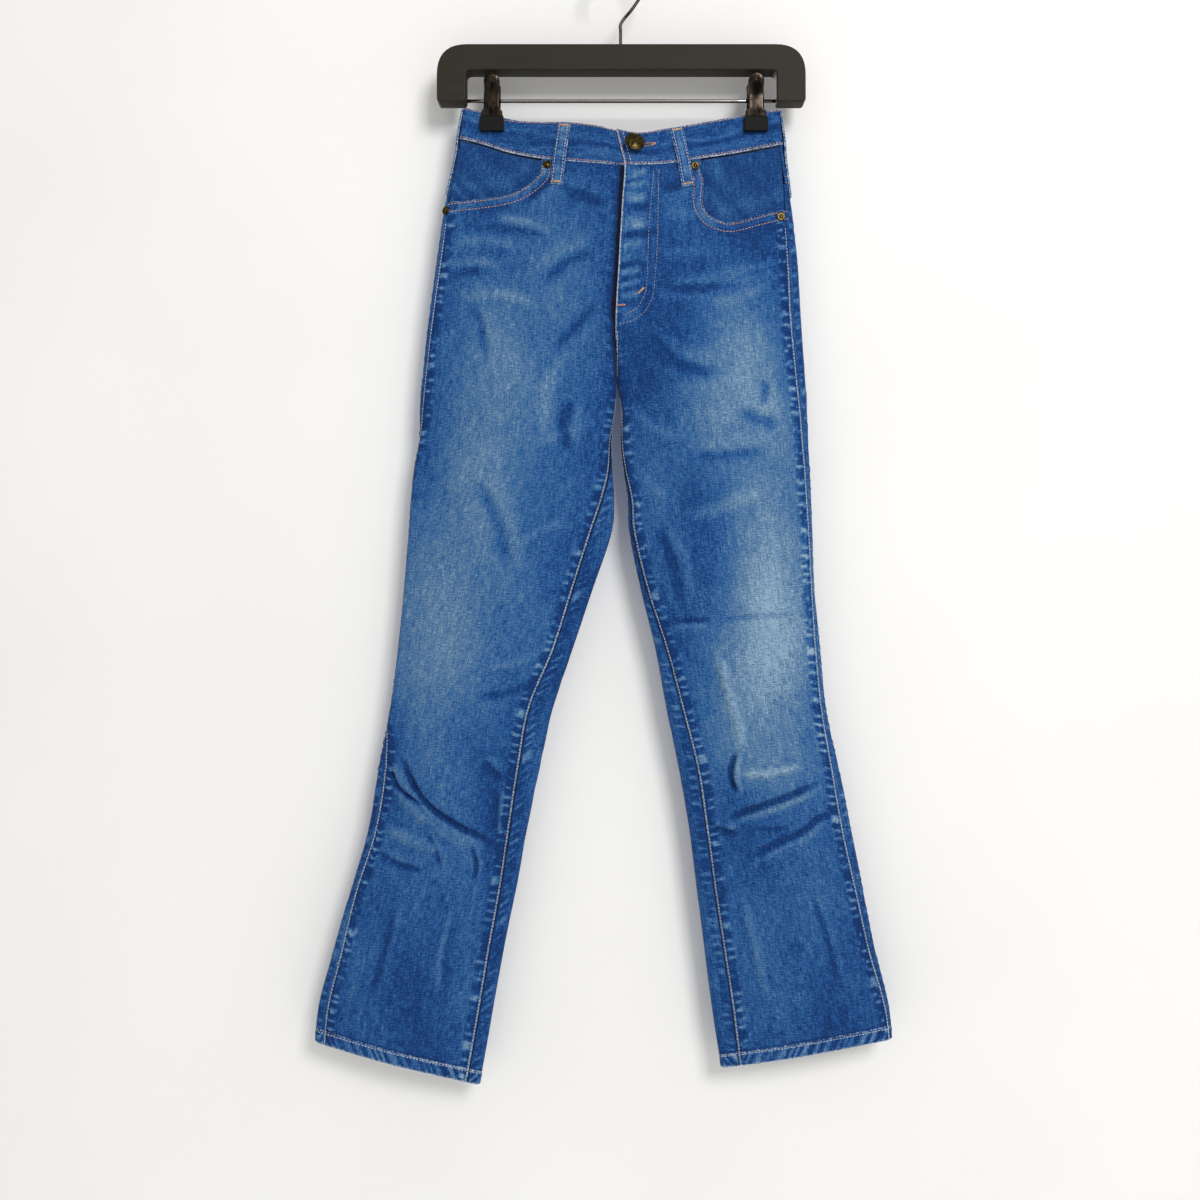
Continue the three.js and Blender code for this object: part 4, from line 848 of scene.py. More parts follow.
# Board with a dark grey satin lacquer, through which the wood's long grain just shows
LACQUER = mottled("satin_lacquered_board", [(0.0, "#211d15"), (1.0, "#29251c")], (60, 3, 3), 0.6, bump=0.05)
PAINTED_REFLECTION_STEEL = painted_reflection_wire("plated_steel_wire_painted_reflection", [(0.12, "#2b2322"), (0.35, "#8f8783"), (0.6, "#b5aea9"), (0.85, "#2a2120")], 0.22)
HOOK_STEEL = mottled("darkened_hook_wire", [(0.2, "#1c1a18"), (0.8, "#4c4844")], (3, 3, 9), 0.3, 1.0, 0.2, 0.02)
for dull in (RUBBER, LACQUER):
    dull.node_tree.nodes["Principled BSDF"].inputs["Specular IOR Level"].default_value = 0.2
# Woven polyester tape and the moulded teeth on it
TAPE = mottled("zip_tape", [(0.2, "#16233c"), (0.8, "#22345a")], (0.8, 3, 0.8), 0.85)
TEETH = mottled("zip_teeth", [(0.2, "#4d4022"), (0.8, "#8b7640")], (1.5, 1.5, 1.5), 0.35, 1.0)


# Leg panels
RISE_ROWS, LEG_ROWS, HEM_ROWS = 92, 300, 14
FRONT_COLUMNS, BACK_COLUMNS = 114, 66
KNEE_LEVEL, KNEE_REACH = 2.56, 0.11
RISE_HEIGHT, TURN_WIDTH = 210, 175
MOUTH = {
    "right": [(-78, -150), (-78.5, -205), (-83, -217), (-97, -228), (-111, -233.7), (-135, -237.5), (-169, -240.5), (-195, -242)],
    "left": [(79.5, -150), (79.8, -207), (82.4, -218), (82.4, -231), (81.6, -243.5), (86.5, -254.5), (95.7, -260.2),
             (110, -262.3), (134.5, -255.5), (157, -249.6), (195, -243)],
}
MOUTH = {leg: rounded_line(points) for leg, points in MOUTH.items()}
YOKE_DROP = {"side": 0.17, "centre": 0.3}
FLAP_LEVELS = (1.76, 1.68)
OUTWARD = {"right": -1, "left": 1}


def bell(value, centre, width):
    return np.exp(-(((value - centre) / width) ** 2))


def crowded(count):
    """Shares from 0 to 1, closer together at both ends."""
    u = np.linspace(0, 1, count)
    return u - 0.07 * np.sin(2 * np.pi * u)


def leg_levels(last):
    """Levels from the fork down, twice as close together at the knee, where the creases are."""
    u = np.linspace(CROTCH, last, 800)
    crowd = np.cumsum(1 + 1.3 * bell(u, KNEE_LEVEL, KNEE_REACH))
    crowd = (crowd - crowd[0]) / (crowd[-1] - crowd[0])
    return np.interp(np.linspace(0, 1, LEG_ROWS), crowd, u)


def yoke_level(turn):
    return SEAM + mix(YOKE_DROP["side"], YOKE_DROP["centre"], np.clip(-turn, 0, 1))


def panel_grid(leg, back):
    """Levels and turns of a panel: from the waist or yoke seam to the hem, side seam to inseam."""
    columns = crowded(BACK_COLUMNS if back else FRONT_COLUMNS)[None, :]
    hem_share = 1.3 * HEM_HEIGHT / (CROTCH_Z - HEM_Z["left"][0])
    gap = SEAM_GAP / RISE_HEIGHT
    rise = np.linspace(0, 1, RISE_ROWS)
    side_top = yoke_level(0.0) + gap if back else SEAM + gap
    nominal = np.concatenate([
        mix(side_top, CROTCH, rise)[:-1],
        leg_levels(HEM - hem_share)[:-1],
        np.linspace(HEM - hem_share, HEM, HEM_ROWS),
    ])
    way = -1 if back else 1
    start = shifted(leg, nominal, side_turn(leg, nominal), way * SEAM_GAP / 2)
    end = inseam_turn(leg, nominal) - (2 if back else 0) - way * SEAM_GAP / 2 / TURN_WIDTH
    turn = mix(start[:, None], end[:, None], columns)
    level = np.repeat(nominal[:, None], turn.shape[1], 1)
    if back:
        first = yoke_level(turn[: RISE_ROWS - 1]) + gap
        level[: RISE_ROWS - 1] = mix(first, CROTCH, rise[:-1, None])
    return level, turn


def leg_panel(leg, back):
    """One leg panel: the smooth surface plus creases, a groove and puckers at each seam, the
    turned hem with its roping, and on the fronts the pocket mouth and the fly's flap."""
    level, turn = panel_grid(leg, back)
    base, out = skin(leg, level, turn), facing_out(leg, level, turn)
    high = relief(base, turn < 0)
    flat = Sheet(base, out)
    seed = {"right": 1.0, "left": 2.4}[leg] + back
    x, z = base[..., 0], base[..., 2]
    below = smooth(CROTCH - 0.02, CROTCH + 0.05, level)
    lift = np.zeros_like(x)
    pucker = np.zeros_like(x)
    groove = np.zeros_like(x)
    for gap, strength, phase in (
        (flat.left, mix(0.5, 1.25, smooth(1.1, 1.4, level)), seed),
        (flat.right, mix(0.4, 1.1, below), seed + 1.7),
    ):
        rungs = uneven(flat.top + 0.35 * gap, 10.5, phase) + 0.3 * uneven(flat.top + 0.6 * gap, 5.3, phase + 2)
        bright = smooth(0.1, 0.75, rungs)
        band = strength * smooth(1.6, 3.2, gap) * smooth(12.5, 8.0, gap + 1.5 * uneven(flat.top, 17, phase))
        lift += mix(-0.4, -1.0, not back) * bell(gap, 0, 1.5) + 0.4 * bell(gap, 5, 3.5) + 0.45 * band * (bright - 0.4)
        pucker += band * mix(-0.24, 0.42, bright) * (0.6 if back else 1.0)
        # Painted shade: on the fronts a darker line runs along the groove beside each seam.
        groove += (0.0 if back else strength) * bell(gap, 3.2, 1.0)
    hem = smooth(HEM_HEIGHT + 0.8, HEM_HEIGHT - 0.6, flat.bottom)
    roping = hem * uneven(flat.left + 0.55 * flat.bottom, 9.5, seed + 4)
    dip = bell(flat.bottom, HEM_HEIGHT - 1.6, 1.1)
    lift += 0.5 * hem + 0.25 * roping - 0.35 * dip - edge_drop(flat.bottom, 1.2)
    pale = fading_and_crease_shade(base, turn < 0, high)
    pale = pale + pucker - 0.22 * groove + hem * (0.4 * roping + 0.1) - 0.3 * bell(flat.bottom, HEM_HEIGHT + 1.2, 1.0)
    # Painted shade in the fork, darkest at the inner edge.
    pale = pale - 0.5 * bell(level, CROTCH, 0.05) * np.exp(-flat.right / 9)
    # Painted shade: on the backs the inseam edge goes near black below the fork.
    if back:
        pale = pale - 1.3 * np.exp(-((flat.right / 1.0) ** 2)) * below
    sides = np.exp(-((flat.right / 1.1) ** 2)) * below + np.exp(-((flat.left / 1.1) ** 2)) * smooth(1.3, 1.6, level)
    hem_edge = 0.6 * bell(flat.bottom, HEM_HEIGHT - 0.4, 0.8)
    worn = np.maximum.reduce([0.85 * np.exp(-flat.bottom / 1.5), hem_edge, (0.1 if back else 0.66) * sides])
    keep = None
    shift = np.zeros(base.shape)
    if not back:
        if leg == "left":
            width = FLAP_WIDTH / TURN_WIDTH
            flap = smooth(1 - width, 1 - width * 0.4, turn) * smooth(*FLAP_LEVELS, level)
            lift += FLAP_LIFT * flap + 0.9 * flap * bell(flat.right, 0, 1.5) - flap * edge_drop(flat.right, 0.9)
            worn = np.maximum(worn, 0.95 * np.exp(-((flat.right / 1.3) ** 2)) * mix(0.7, 1, flap) * (level < CROTCH))
            fly = smooth(1.5, 4, flat.right) * smooth(26, 19, flat.right) * smooth(1.85, 1.6, level)
            pale += fly * (0.15 + 0.22 * np.tanh(1.6 * uneven(flat.top + 0.2 * flat.right, 19, 5.0)) * smooth(0, 9, flat.right))
        else:
            # Painted shadow beside the fly's flap, and painted shade along the centre seam below the fly down to the
            # fork.
            pale -= (1.6 * np.exp(-((flat.right / 4.2) ** 2)) + 0.12 * np.exp(-flat.right / 14)) * smooth(*FLAP_LEVELS, level)
            pale -= 1.1 * np.exp(-((flat.right / 3.5) ** 2)) * smooth(1.6, 1.75, level) * smooth(2.03, 1.95, level)
            lift -= 0.8 * np.exp(-((flat.right / 5) ** 2)) * smooth(*FLAP_LEVELS, level)
        near = (np.abs(z + 205) < 75) & (level < CROTCH)
        away = np.full(x.shape, -99.0)
        back_step = np.zeros(x.shape + (2,))
        d, _, step = beside(MOUTH[leg], x[near], z[near])
        away[near], back_step[near] = OUTWARD[leg] * d, step
        snap = np.abs(away) < 1.5
        shift[snap] = np.stack([back_step[snap][:, 0], np.zeros(snap.sum()), back_step[snap][:, 1]], -1)
        keep = away < 1.5
        inside = np.where(snap, 0, np.clip(-away, 0, None))
        lift += 0.6 * smooth(12, 9.5, inside) - edge_drop(inside, 0.8) * (away > -2)
        lift -= 0.3 * bell(inside, 2.4, 0.9) + 0.3 * bell(inside, 9.6, 0.9)
        worn = np.maximum(worn, 0.34 * np.exp(-inside / 0.9))
        pale += 0.14 * bell(inside, 4.5, 2.6) - 0.1 * bell(inside, 12.5, 1.6)
        # Painted shadow just under the waistband.
        band_shadow = bell(flat.top, 0, 2.6) * (level < SEAM + 0.1)
        pale -= 0.12 * band_shadow
    deep = mix(CLOTH, HEM_CLOTH, hem) - edge_drop(flat.bottom, 1.2)
    outer = base + out * (high + lift)[..., None] + shift
    inner = base + out * (high - deep)[..., None] + shift
    centre = x.mean(1, keepdims=True)
    uv = np.stack([(x - centre) * MM + {"right": 0.0, "left": 1.3}[leg], z * MM + 2.0 * back], -1)
    worn = np.clip(worn, 0, 1)
    node = f"{'back' if back else 'front'}_{leg}"
    piece = shell(node, outer, inner, DENIM, "denim", keep, uv, pale=np.clip(pale, -1.2, 1.2), worn=worn)
    return node, piece, Sheet(outer, out), level


pieces, sheets, panel_levels = {}, {}, {}
for leg in ("right", "left"):
    for back in (False, True):
        node, piece, sheet, level = leg_panel(leg, back)
        pieces[node], sheets[node], panel_levels[node] = piece, sheet, level


def patch(node, base, out, lift, cloth, material, slot, pale, worn=0.0, height=0.0):
    """A piece laid on the garment: a grid of places, lifted, with a rounded edge."""
    flat = Sheet(base, out)
    top = lift + cloth - edge_drop(flat.edge, min(cloth, 0.9)) + height
    outer, inner = base + out * np.asarray(top)[..., None], base + out * np.asarray(lift * np.ones_like(top))[..., None]
    uv = np.stack([flat.left, -flat.top], -1) * MM + 3.0 + 0.1 * len(pieces)
    pale = np.broadcast_to(pale, flat.edge.shape)
    pieces[node] = shell(node, outer, inner, material, slot, None, uv, pale=pale, worn=worn * np.exp(-flat.edge / 0.9))
    sheets[node] = Sheet(outer, out)


# Yokes
YOKE_ROWS = 26
for leg in ("right", "left"):
    top = np.full(BACK_COLUMNS, SEAM + SEAM_GAP / RISE_HEIGHT)
    start = shifted(leg, top[:1], side_turn(leg, top[:1]), -SEAM_GAP / 2)
    turn = mix(start, -1 + SEAM_GAP / 2 / TURN_WIDTH, crowded(BACK_COLUMNS))[None, :]
    foot = yoke_level(turn) - SEAM_GAP / RISE_HEIGHT
    level = mix(top[None, :], foot, np.linspace(0, 1, YOKE_ROWS)[:, None])
    base, out = on_cloth(leg, level, np.repeat(turn, YOKE_ROWS, 0), 0.0)
    flat = Sheet(base, out)
    pucker = bell(flat.bottom, 5, 4) * uneven(flat.left, 8.2, 3.1)
    lift = -0.8 * bell(flat.bottom, 0, 1.4) - 0.7 * bell(flat.left, 0, 1.5) + 0.35 * bell(flat.bottom, 5, 3.5)
    outer = base + out * (lift + 0.2 * pucker)[..., None]
    uv = np.stack([base[..., 0], base[..., 2]], -1) * MM + 5.0
    pale = fading_and_crease_shade(base, True, 0.0) + 0.1 * pucker
    node = f"yoke_{leg}"
    pieces[node] = shell(node, outer, base - out * CLOTH, DENIM, "denim", None, uv, pale=pale, worn=0.3 * bell(flat.bottom, 1, 1))
    sheets[node] = Sheet(outer, out)

# Facings in the pocket mouths
FACING = {"lift": -1.4, "cloth": 1.0, "top": 1.005, "inward": 14, "foot": {"right": -254, "left": -276}}
for leg in ("right", "left"):
    foot, _ = place_of(leg, OUTWARD[leg] * 170, FACING["foot"][leg], False)
    level = np.repeat(mix(FACING["top"], foot, np.linspace(0, 1, 40)[:, None]), 60, 1)
    start = shifted(leg, level[:, 0], side_turn(leg, level[:, 0]), 0.15)
    inner_x = MOUTH[leg][0, 0] - OUTWARD[leg] * FACING["inward"]
    end = turn_of_x(leg, level[:, 0], np.full(40, inner_x), False)
    turn = mix(start[:, None], end[:, None], np.linspace(0, 1, 60)[None, :])
    base, out = on_cloth(leg, level, turn, 0.0)
    away, _, _ = beside(MOUTH[leg], base[..., 0].ravel(), base[..., 2].ravel())
    away = OUTWARD[leg] * away.reshape(level.shape)
    lift = FACING["lift"] - FACING["cloth"] + 1.3 * smooth(2, 11, away) * smooth(0.6, 3, np.abs(base[..., 2] - base[0, :, 2]))
    fade = 0.16 + 0.14 * bell(away, 14, 8) + 0.1 * uneven(base[..., 0] + base[..., 2], 31, 2.0)
    patch(f"pocket_facing_{leg}", base, out, lift, FACING["cloth"], DENIM_DARK, "denim_inner", fade)


def across_centre(level, x, back):
    """Points and ways out on the cloth at levels and x on either side of the centre line."""
    middle = column(CENTRE_LINE, "z", "x", rise_z(level, 0, back))
    base, out = np.empty(level.shape + (3,)), np.empty(level.shape + (3,))
    for leg, part in (("right", x < middle), ("left", x >= middle)):
        if part.any():
            base[part], out[part] = on_cloth(leg, level[part], turn_of_x(leg, level[part], x[part], back), 0.0)
    return base, out


# Behind the fly: the zip's tape with its teeth, and the shield
ZIP_TEETH, TOOTH = 62, (2.6, 0.45, 1.1)
for node, lift, cloth, right, left, foot, material, slot in (
    ("zip_tape", -1.95, 0.45, 12, 12, 1.68, TAPE, "zip_tape"),
    ("fly_shield", -2.7, 1.2, 10, 30, 1.7, DENIM_DARK, "denim_inner"),
):
    level = np.repeat(np.linspace(1.01, foot, 40)[:, None], 24, 1)
    middle = column(CENTRE_LINE, "z", "x", rise_z(level, 0, False))
    base, out = across_centre(level, middle + np.linspace(-right, left, 24)[None, :], False)
    if node == "zip_tape":
        zip_line = across_centre(level[:, :1], middle[:, :1] + 0.2, False)
    patch(node, base, out, lift - cloth, cloth, material, slot, 0.2)

# Waistband
UNDERLAP = {"lift": -2.1, "reach": 34, "step": (0.905, 0.955)}


def band_grid(rows):
    """Points and ways out of the band's surface, from the overlap end round the back to the
    underlap behind it, and how far each station has stepped down under the overlap."""
    end = SEAM_GAP / 2 / TURN_WIDTH
    stations = [
        ("left", mix(1 - end, -1, crowded(300)), 0.0),
        ("right", mix(-1, 0.89, crowded(280))[1:], 0.0),
        ("right", np.linspace(0.9, 0.98, 18), None),
        ("left", np.linspace(1, 1 - UNDERLAP["reach"] / 160, 26), 1.0),
    ]
    level = (rows * (SEAM - SEAM_GAP / 70))[None, :]
    points, ways, under = [], [], []
    for leg, turns, below in stations:
        p, n = on_cloth(leg, np.repeat(level, len(turns), 0), np.repeat(turns[:, None], len(rows), 1), 0.0)
        points.append(p)
        ways.append(n)
        stepped = smooth(*UNDERLAP["step"], turns) if below is None else np.full(len(turns), below)
        under.append(np.repeat(stepped[:, None], len(rows), 1))
    return np.concatenate(points), np.concatenate(ways), np.concatenate(under)


band_rows = np.concatenate([[0, 0.012, 0.03], np.linspace(0.06, 0.94, 16), [0.97, 0.988, 1]])
base, out, under = band_grid(band_rows)
flat = Sheet(base, out)
drop = under * (UNDERLAP["lift"] - BAND_PROUD)
edges = np.minimum(flat.left, flat.right)
rope = bell(edges, 3, 2.6) * uneven(flat.top + 0.5 * flat.left, 7.4, 0.7)
round_edge = edge_drop(flat.edge, 1.2)
fold = bell(flat.left, 20 + 3 * np.sin(flat.top / 40), 2.4)
lift = BAND_PROUD + drop - round_edge + 0.18 * rope - 0.3 * bell(edges, 2.2, 0.9) - 0.35 * fold
outer = base + out * lift[..., None]
inner = base + out * (-BAND_DEEP + drop + round_edge)[..., None]
uv = np.stack([flat.left, -flat.top], -1) * MM + 7.0
wave = 13 + 3.5 * np.sin(flat.top / 47) + 1.5 * np.sin(flat.top / 13)
# Painted shade darkens the fold's dip; the wavy pale line with a darker line below it is a painted highlight and shade
# of a crease.
pale = 0.17 + 0.1 * bell(flat.left, 27, 5) + 0.14 * rope - 0.14 * fold + 0.14 * bell(flat.top, 12, 9) * bell(flat.left, 26, 7)
pale = pale + 0.14 * bell(flat.left, wave, 2.6) - 0.12 * bell(flat.left, wave + 4.5, 2.4) + 0.07 * uneven(flat.top + flat.left, 61, 1.3)
worn = np.maximum.reduce([0.75 * np.exp(-flat.left / 1.0), 0.72 * np.exp(-((flat.right / 1.0) ** 2)), 0.8 * np.exp(-((flat.top / 1.3) ** 2))])
pieces["waistband"] = shell("waistband", outer, inner, DENIM, "denim", None, uv, pale=np.clip(pale, 0, 1), worn=worn)
sheets["waistband"] = Sheet(outer, out)

# Back pockets
PATCH_LIFT, PATCH_CLOTH = 0.75, 1.2
BACK_POCKET = {"inner": 24, "outer": 146, "taper": 9, "top": (-277, -267), "foot": -388, "point": 16}
for leg in ("right", "left"):
    b, a = np.meshgrid(np.linspace(0, 1, 66), np.linspace(0, 1, 71), indexing="ij")
    taper = BACK_POCKET["taper"] * b
    across = mix(BACK_POCKET["inner"] + taper, BACK_POCKET["outer"] - taper, a)
    foot = BACK_POCKET["foot"] - BACK_POCKET["point"] * (1 - np.abs(2 * a - 1))
    level, turn = place_of(leg, OUTWARD[leg] * across, mix(mix(*BACK_POCKET["top"], a), foot, b), True)
    base, out = on_cloth(leg, level, turn, 0.0)
    flat = Sheet(base, out)
    pucker = bell(flat.edge, 3, 3) * uneven(flat.left + flat.top, 7.9, 2.2)
    pale = fading_and_crease_shade(base, True, 0.0) * 0.85 + 0.1 * pucker + 0.1 * smooth(16, 4, flat.top)
    height = 0.14 * pucker + 0.5 * smooth(18, 16, flat.top) - 0.2 * bell(flat.edge, 2, 0.9)
    patch(f"back_pocket_{leg}", base, out, PATCH_LIFT, PATCH_CLOTH, DENIM, "denim", np.clip(pale, 0, 1), 0.6, height)

# Belt loops: at the side seams a loop is given by turns, elsewhere by x at its top and foot
LOOP = {"width": 12.5, "cloth": 1.6, "top": 0.03, "on_band": 1.2, "on_panel": 0.5, "stand": 1.1, "band_share": 0.6}
LOOP_ROWS, LOOP_COLUMNS = 70, 17
LOOPS = [
    ("belt_loop_front_right", False, None, (-55, -63.5), -226),
    ("belt_loop_front_left", False, None, (55, 67.5), -227.5),
    ("belt_loop_back", True, None, (-1, 0), -226),
    ("belt_loop_side_right", True, "right", (0.015, -0.1), -233),
    ("belt_loop_side_left", True, "left", (0.015, -0.1), -235),
]
for node, back, side, reach, foot_z in LOOPS:
    a, b = np.linspace(0, 1, LOOP_COLUMNS), np.linspace(0, 1, LOOP_ROWS)
    foot_x = OUTWARD[side] * 165 if side else reach[1]
    leg = side or ("right" if foot_x < column(CENTRE_LINE, "z", "x", foot_z) else "left")
    foot, _ = place_of(leg, foot_x, foot_z, back)
    knee, share = SEAM + 0.005, LOOP["band_share"]
    levels = np.where(b < share, mix(LOOP["top"], knee, b / share), mix(knee, foot, (b - share) / (1 - share)))
    level = np.repeat(levels[:, None], LOOP_COLUMNS, 1)
    if side:
        base, out = on_cloth(side, level, np.repeat(mix(*reach, a)[None, :], LOOP_ROWS, 0), 0.0)
    else:
        base, out = across_centre(level, mix(*reach, b)[:, None] + (a[None, :] - 0.5) * LOOP["width"], back)
    flat = Sheet(base, out)
    edges = np.minimum(flat.left, flat.right)
    stand = mix(LOOP["on_band"], LOOP["on_panel"], smooth(SEAM + 0.005, SEAM + 0.05, level))
    lift = stand + (LOOP["stand"] * np.sin(np.pi * b) ** 2)[:, None]
    height = 0.12 * uneven(flat.top, 6.1, len(node)) * np.exp(-edges / 3) - 0.25 * bell(edges, 2.6, 0.8)
    fade = 0.2 + 0.3 * bell(edges, 6, 2.6) + 0.12 * uneven(flat.top, 11, 2.0 + len(node))
    patch(node, base, out, lift, LOOP["cloth"], DENIM, "denim", fade, 0.5, height)


# Sewing thread: each stitch is a short capsule of six sides, bowed up in its middle
STITCH_SHARES = np.array([0.0, 0.14, 0.5, 0.86, 1.0])
STITCH_WIDTHS = np.array([0.0, 0.8, 1.0, 0.8, 0.0])
SIDES = 6
threads = {}


def sew(group, starts, ends, outs):
    threads.setdefault(group, []).append((starts, ends, outs))


def run(group, points, outs, pitch=3.3, length=2.5, lift=0.1):
    """Even stitches along a line on the cloth."""
    distance = np.concatenate([[0], np.cumsum(np.linalg.norm(np.diff(points, axis=0), axis=1))])
    begin = np.arange(0.5, distance[-1] - length, pitch)

    def at(values, d):
        return np.stack([np.interp(d, distance, values[:, k]) for k in range(3)], 1)

    out = unit(at(outs, begin + length / 2))
    sew(group, at(points, begin) + out * lift, at(points, begin + length) + out * lift, out)


def bartack(group, centre, way, out, long, wide=1.9):
    """A dense zigzag across a short bar."""
    way, out = unit(way), unit(out)
    across = np.cross(way, out)
    along = np.arange(-long / 2, long / 2, 0.55)[:, None] * way
    starts = centre + along - across * wide / 2 + out * 0.25
    sew(group, starts, starts + across * wide + way * 0.3, np.repeat(out[None], len(along), 0))


def thread_piece(name, group, material, slot, thick=0.75, high=0.55):
    """All stitches of one group as one piece."""
    starts, ends, outs = (np.concatenate(parts) for parts in zip(*threads[group]))
    side = unit(np.cross(ends - starts, outs))
    rings = [starts[:, None]]
    angle = np.arange(SIDES) * 2 * np.pi / SIDES
    for share, width in zip(STITCH_SHARES[1:-1], STITCH_WIDTHS[1:-1]):
        middle = mix(starts, ends, share) + outs * 0.18 * np.sin(np.pi * share)
        across = side[:, None] * (np.cos(angle) * thick / 2 * width)[None, :, None]
        up = outs[:, None] * (np.sin(angle) * high / 2 * width)[None, :, None]
        rings.append(middle[:, None] + across + up)
    points = np.concatenate([*rings, ends[:, None]], 1)
    k = np.arange(SIDES)
    n = (k + 1) % SIDES
    last = points.shape[1] - 1
    faces = [np.stack([np.zeros_like(k), 1 + n, 1 + k], 1)]
    for ring in range(len(rings) - 2):
        a, b = 1 + ring * SIDES + k, 1 + ring * SIDES + n
        faces += [np.stack([a, b, b + SIDES], 1), np.stack([a, b + SIDES, a + SIDES], 1)]
    faces.append(np.stack([last - SIDES + k, last - SIDES + n, np.full_like(k, last)], 1))
    faces = np.concatenate(faces)
    every = (np.arange(len(points)) * points.shape[1])[:, None, None] + faces[None]
    points = points.reshape(-1, 3)
    return put(name, points, faced_out(points, every.reshape(-1, 3)), material, slot)


def drawn(leg, points, lift, back=False):
    """A line of x and z laid on the cloth, without what lies beyond the side or above the seam."""
    x, z = np.asarray(points, float).T
    level, turn = place_of(leg, x, z, back)
    points, out = on_cloth(leg, level, turn, lift)
    good = (np.abs(points[:, 0] - x) < 1.5) & (level > SEAM + 0.012)
    return points[good], out[good]


def beside_line(line, distance):
    """The line moved to its left."""
    d = np.gradient(line, axis=0)
    return line + distance * unit(np.stack([-d[:, 1], d[:, 0]], 1))


def part_line(node, edge, distance, low=0.0, high=9.0):
    """A panel's line at a distance from an edge, between two levels."""
    points, outs = sheets[node].line(edge, distance)
    if edge in ("left", "right") and node in panel_levels:
        good = (panel_levels[node][:, 0] > low) & (panel_levels[node][:, 0] < high)
        points, outs = points[good], outs[good]
    return points, outs


for edge, distance, group in (("left", 2.2, "waist"), ("right", 2.6, "waist"), ("top", 2.2, "waist"), ("top", 7.0, "faded")):
    run(group, *part_line("waistband", edge, distance))
for leg in ("right", "left"):
    inward = -OUTWARD[leg]
    for distance in (2.4, 9.6):
        run("front", *drawn(leg, beside_line(MOUTH[leg], inward * distance), 0.6))
    run("faded", *part_line(f"front_{leg}", "right", 1.6, CROTCH + 0.02))
    run("faded", *part_line(f"front_{leg}", "left", 1.6, 1.35))
    for back in ("front", "back"):
        run("hems", *part_line(f"{back}_{leg}", "bottom", HEM_HEIGHT - 1.6))
    for distance in (2.0, 8.0):
        run("back", *part_line(f"yoke_{leg}", "bottom", distance))
        for edge in ("left", "right", "bottom"):
            run("back", *part_line(f"back_pocket_{leg}", edge, distance))
    for distance in (3.0, 15.0):
        run("back", *part_line(f"back_pocket_{leg}", "top", distance))
for distance in (2.0, 8.0):
    run("back", *part_line("back_left", "right", distance, 0, CROTCH - 0.03))
    run("back", *part_line("yoke_left", "right", distance))
run("faded", *part_line("front_left", "right", 2.2, FLAP_LEVELS[0], CROTCH - 0.02))
J_STITCH = [
    [(658.7, 170), (657.4, 239), (654.8, 277.6), (652.3, 296.7), (646, 310.7), (635.7, 319.6), (625.5, 323.5), (616.6, 324.7)],
    [(653.6, 170), (649, 226.5), (646.6, 284), (642, 300.5), (634.4, 310.7), (616.6, 318.4)],
]
for points in J_STITCH:
    run("fly", *drawn("left", seen(rounded_line(points)), 0.25))
for node, *_ in LOOPS:
    loop = sheets[node]
    for edge in ("left", "right"):
        run("faded", *loop.line(edge, 2.6))
    for row in (3, -4):
        middle = LOOP_COLUMNS // 2
        way = loop.points[row, -1] - loop.points[row, 0]
        bartack("tacks", loop.points[row, middle], way, loop.out[row, middle], 9.5)
for leg in ("right", "left"):
    for column_ in (2, -3):
        spot = sheets[f"back_pocket_{leg}"]
        bartack("tacks", spot.points[2, column_], np.array([0.3, 0, -1.0]), spot.out[2, column_], 8)
for centre, way in (((640.8, 291.6), (1, 0, 1.0)), ((621, 306), (1, 0, 0.05))):
    spot, out = (part[0] for part in drawn("left", seen([centre]), 0.9))
    bartack("tacks", spot, np.array(way), out, 8)

# Round the buttonhole the thread lies square to the slit
HOLE = {"x": 22.5, "z": -188.5, "half": 11.0, "wide": 0.6, "slope": 0.16}
angle = np.linspace(0, 2 * np.pi, 64, endpoint=False)
ring = np.stack([HOLE["half"] * np.cos(angle), HOLE["wide"] * np.sin(angle)], 1)
spread = np.stack([(HOLE["half"] + 1.5) * np.cos(angle), (HOLE["wide"] + 1.5) * np.sin(angle)], 1)
hole_ends = []
for oval in (ring, spread):
    x, z = HOLE["x"] + oval[:, 0], HOLE["z"] + oval[:, 1] + HOLE["slope"] * oval[:, 0]
    level, turn = place_of("left", x, z, False)
    hole_ends.append(on_cloth("left", level, turn, BAND_PROUD + 0.25))
sew("tacks", hole_ends[0][0], hole_ends[1][0], hole_ends[0][1])

thread_piece("topstitch_waistband", "waist", THREAD, "denim")
thread_piece("topstitch_fronts", "front", THREAD, "denim")
thread_piece("topstitch_faded", "faded", THREAD_PALE, "denim")
thread_piece("topstitch_fly", "fly", THREAD_BLUE, "denim")
thread_piece("topstitch_hems", "hems", THREAD_PALE, "denim")
thread_piece("topstitch_back", "back", THREAD, "denim")
thread_piece("bartacks", "tacks", THREAD, "denim", 0.6, 0.5)


# Turned, bent and cut hard pieces
def lathe(profile, sides):
    """Points and faces of a profile of (radius, height) turned round +Z, closed at both poles."""
    p = np.array(profile, float)
    angle = np.arange(sides) * 2 * np.pi / sides
    rings = [np.stack([r * np.cos(angle), r * np.sin(angle), np.full(sides, h)], 1) for r, h in p[1:-1]]
    points = np.concatenate([[[0, 0, p[0, 1]]], *rings, [[0, 0, p[-1, 1]]]])
    return closed_rings(points, len(rings), sides)


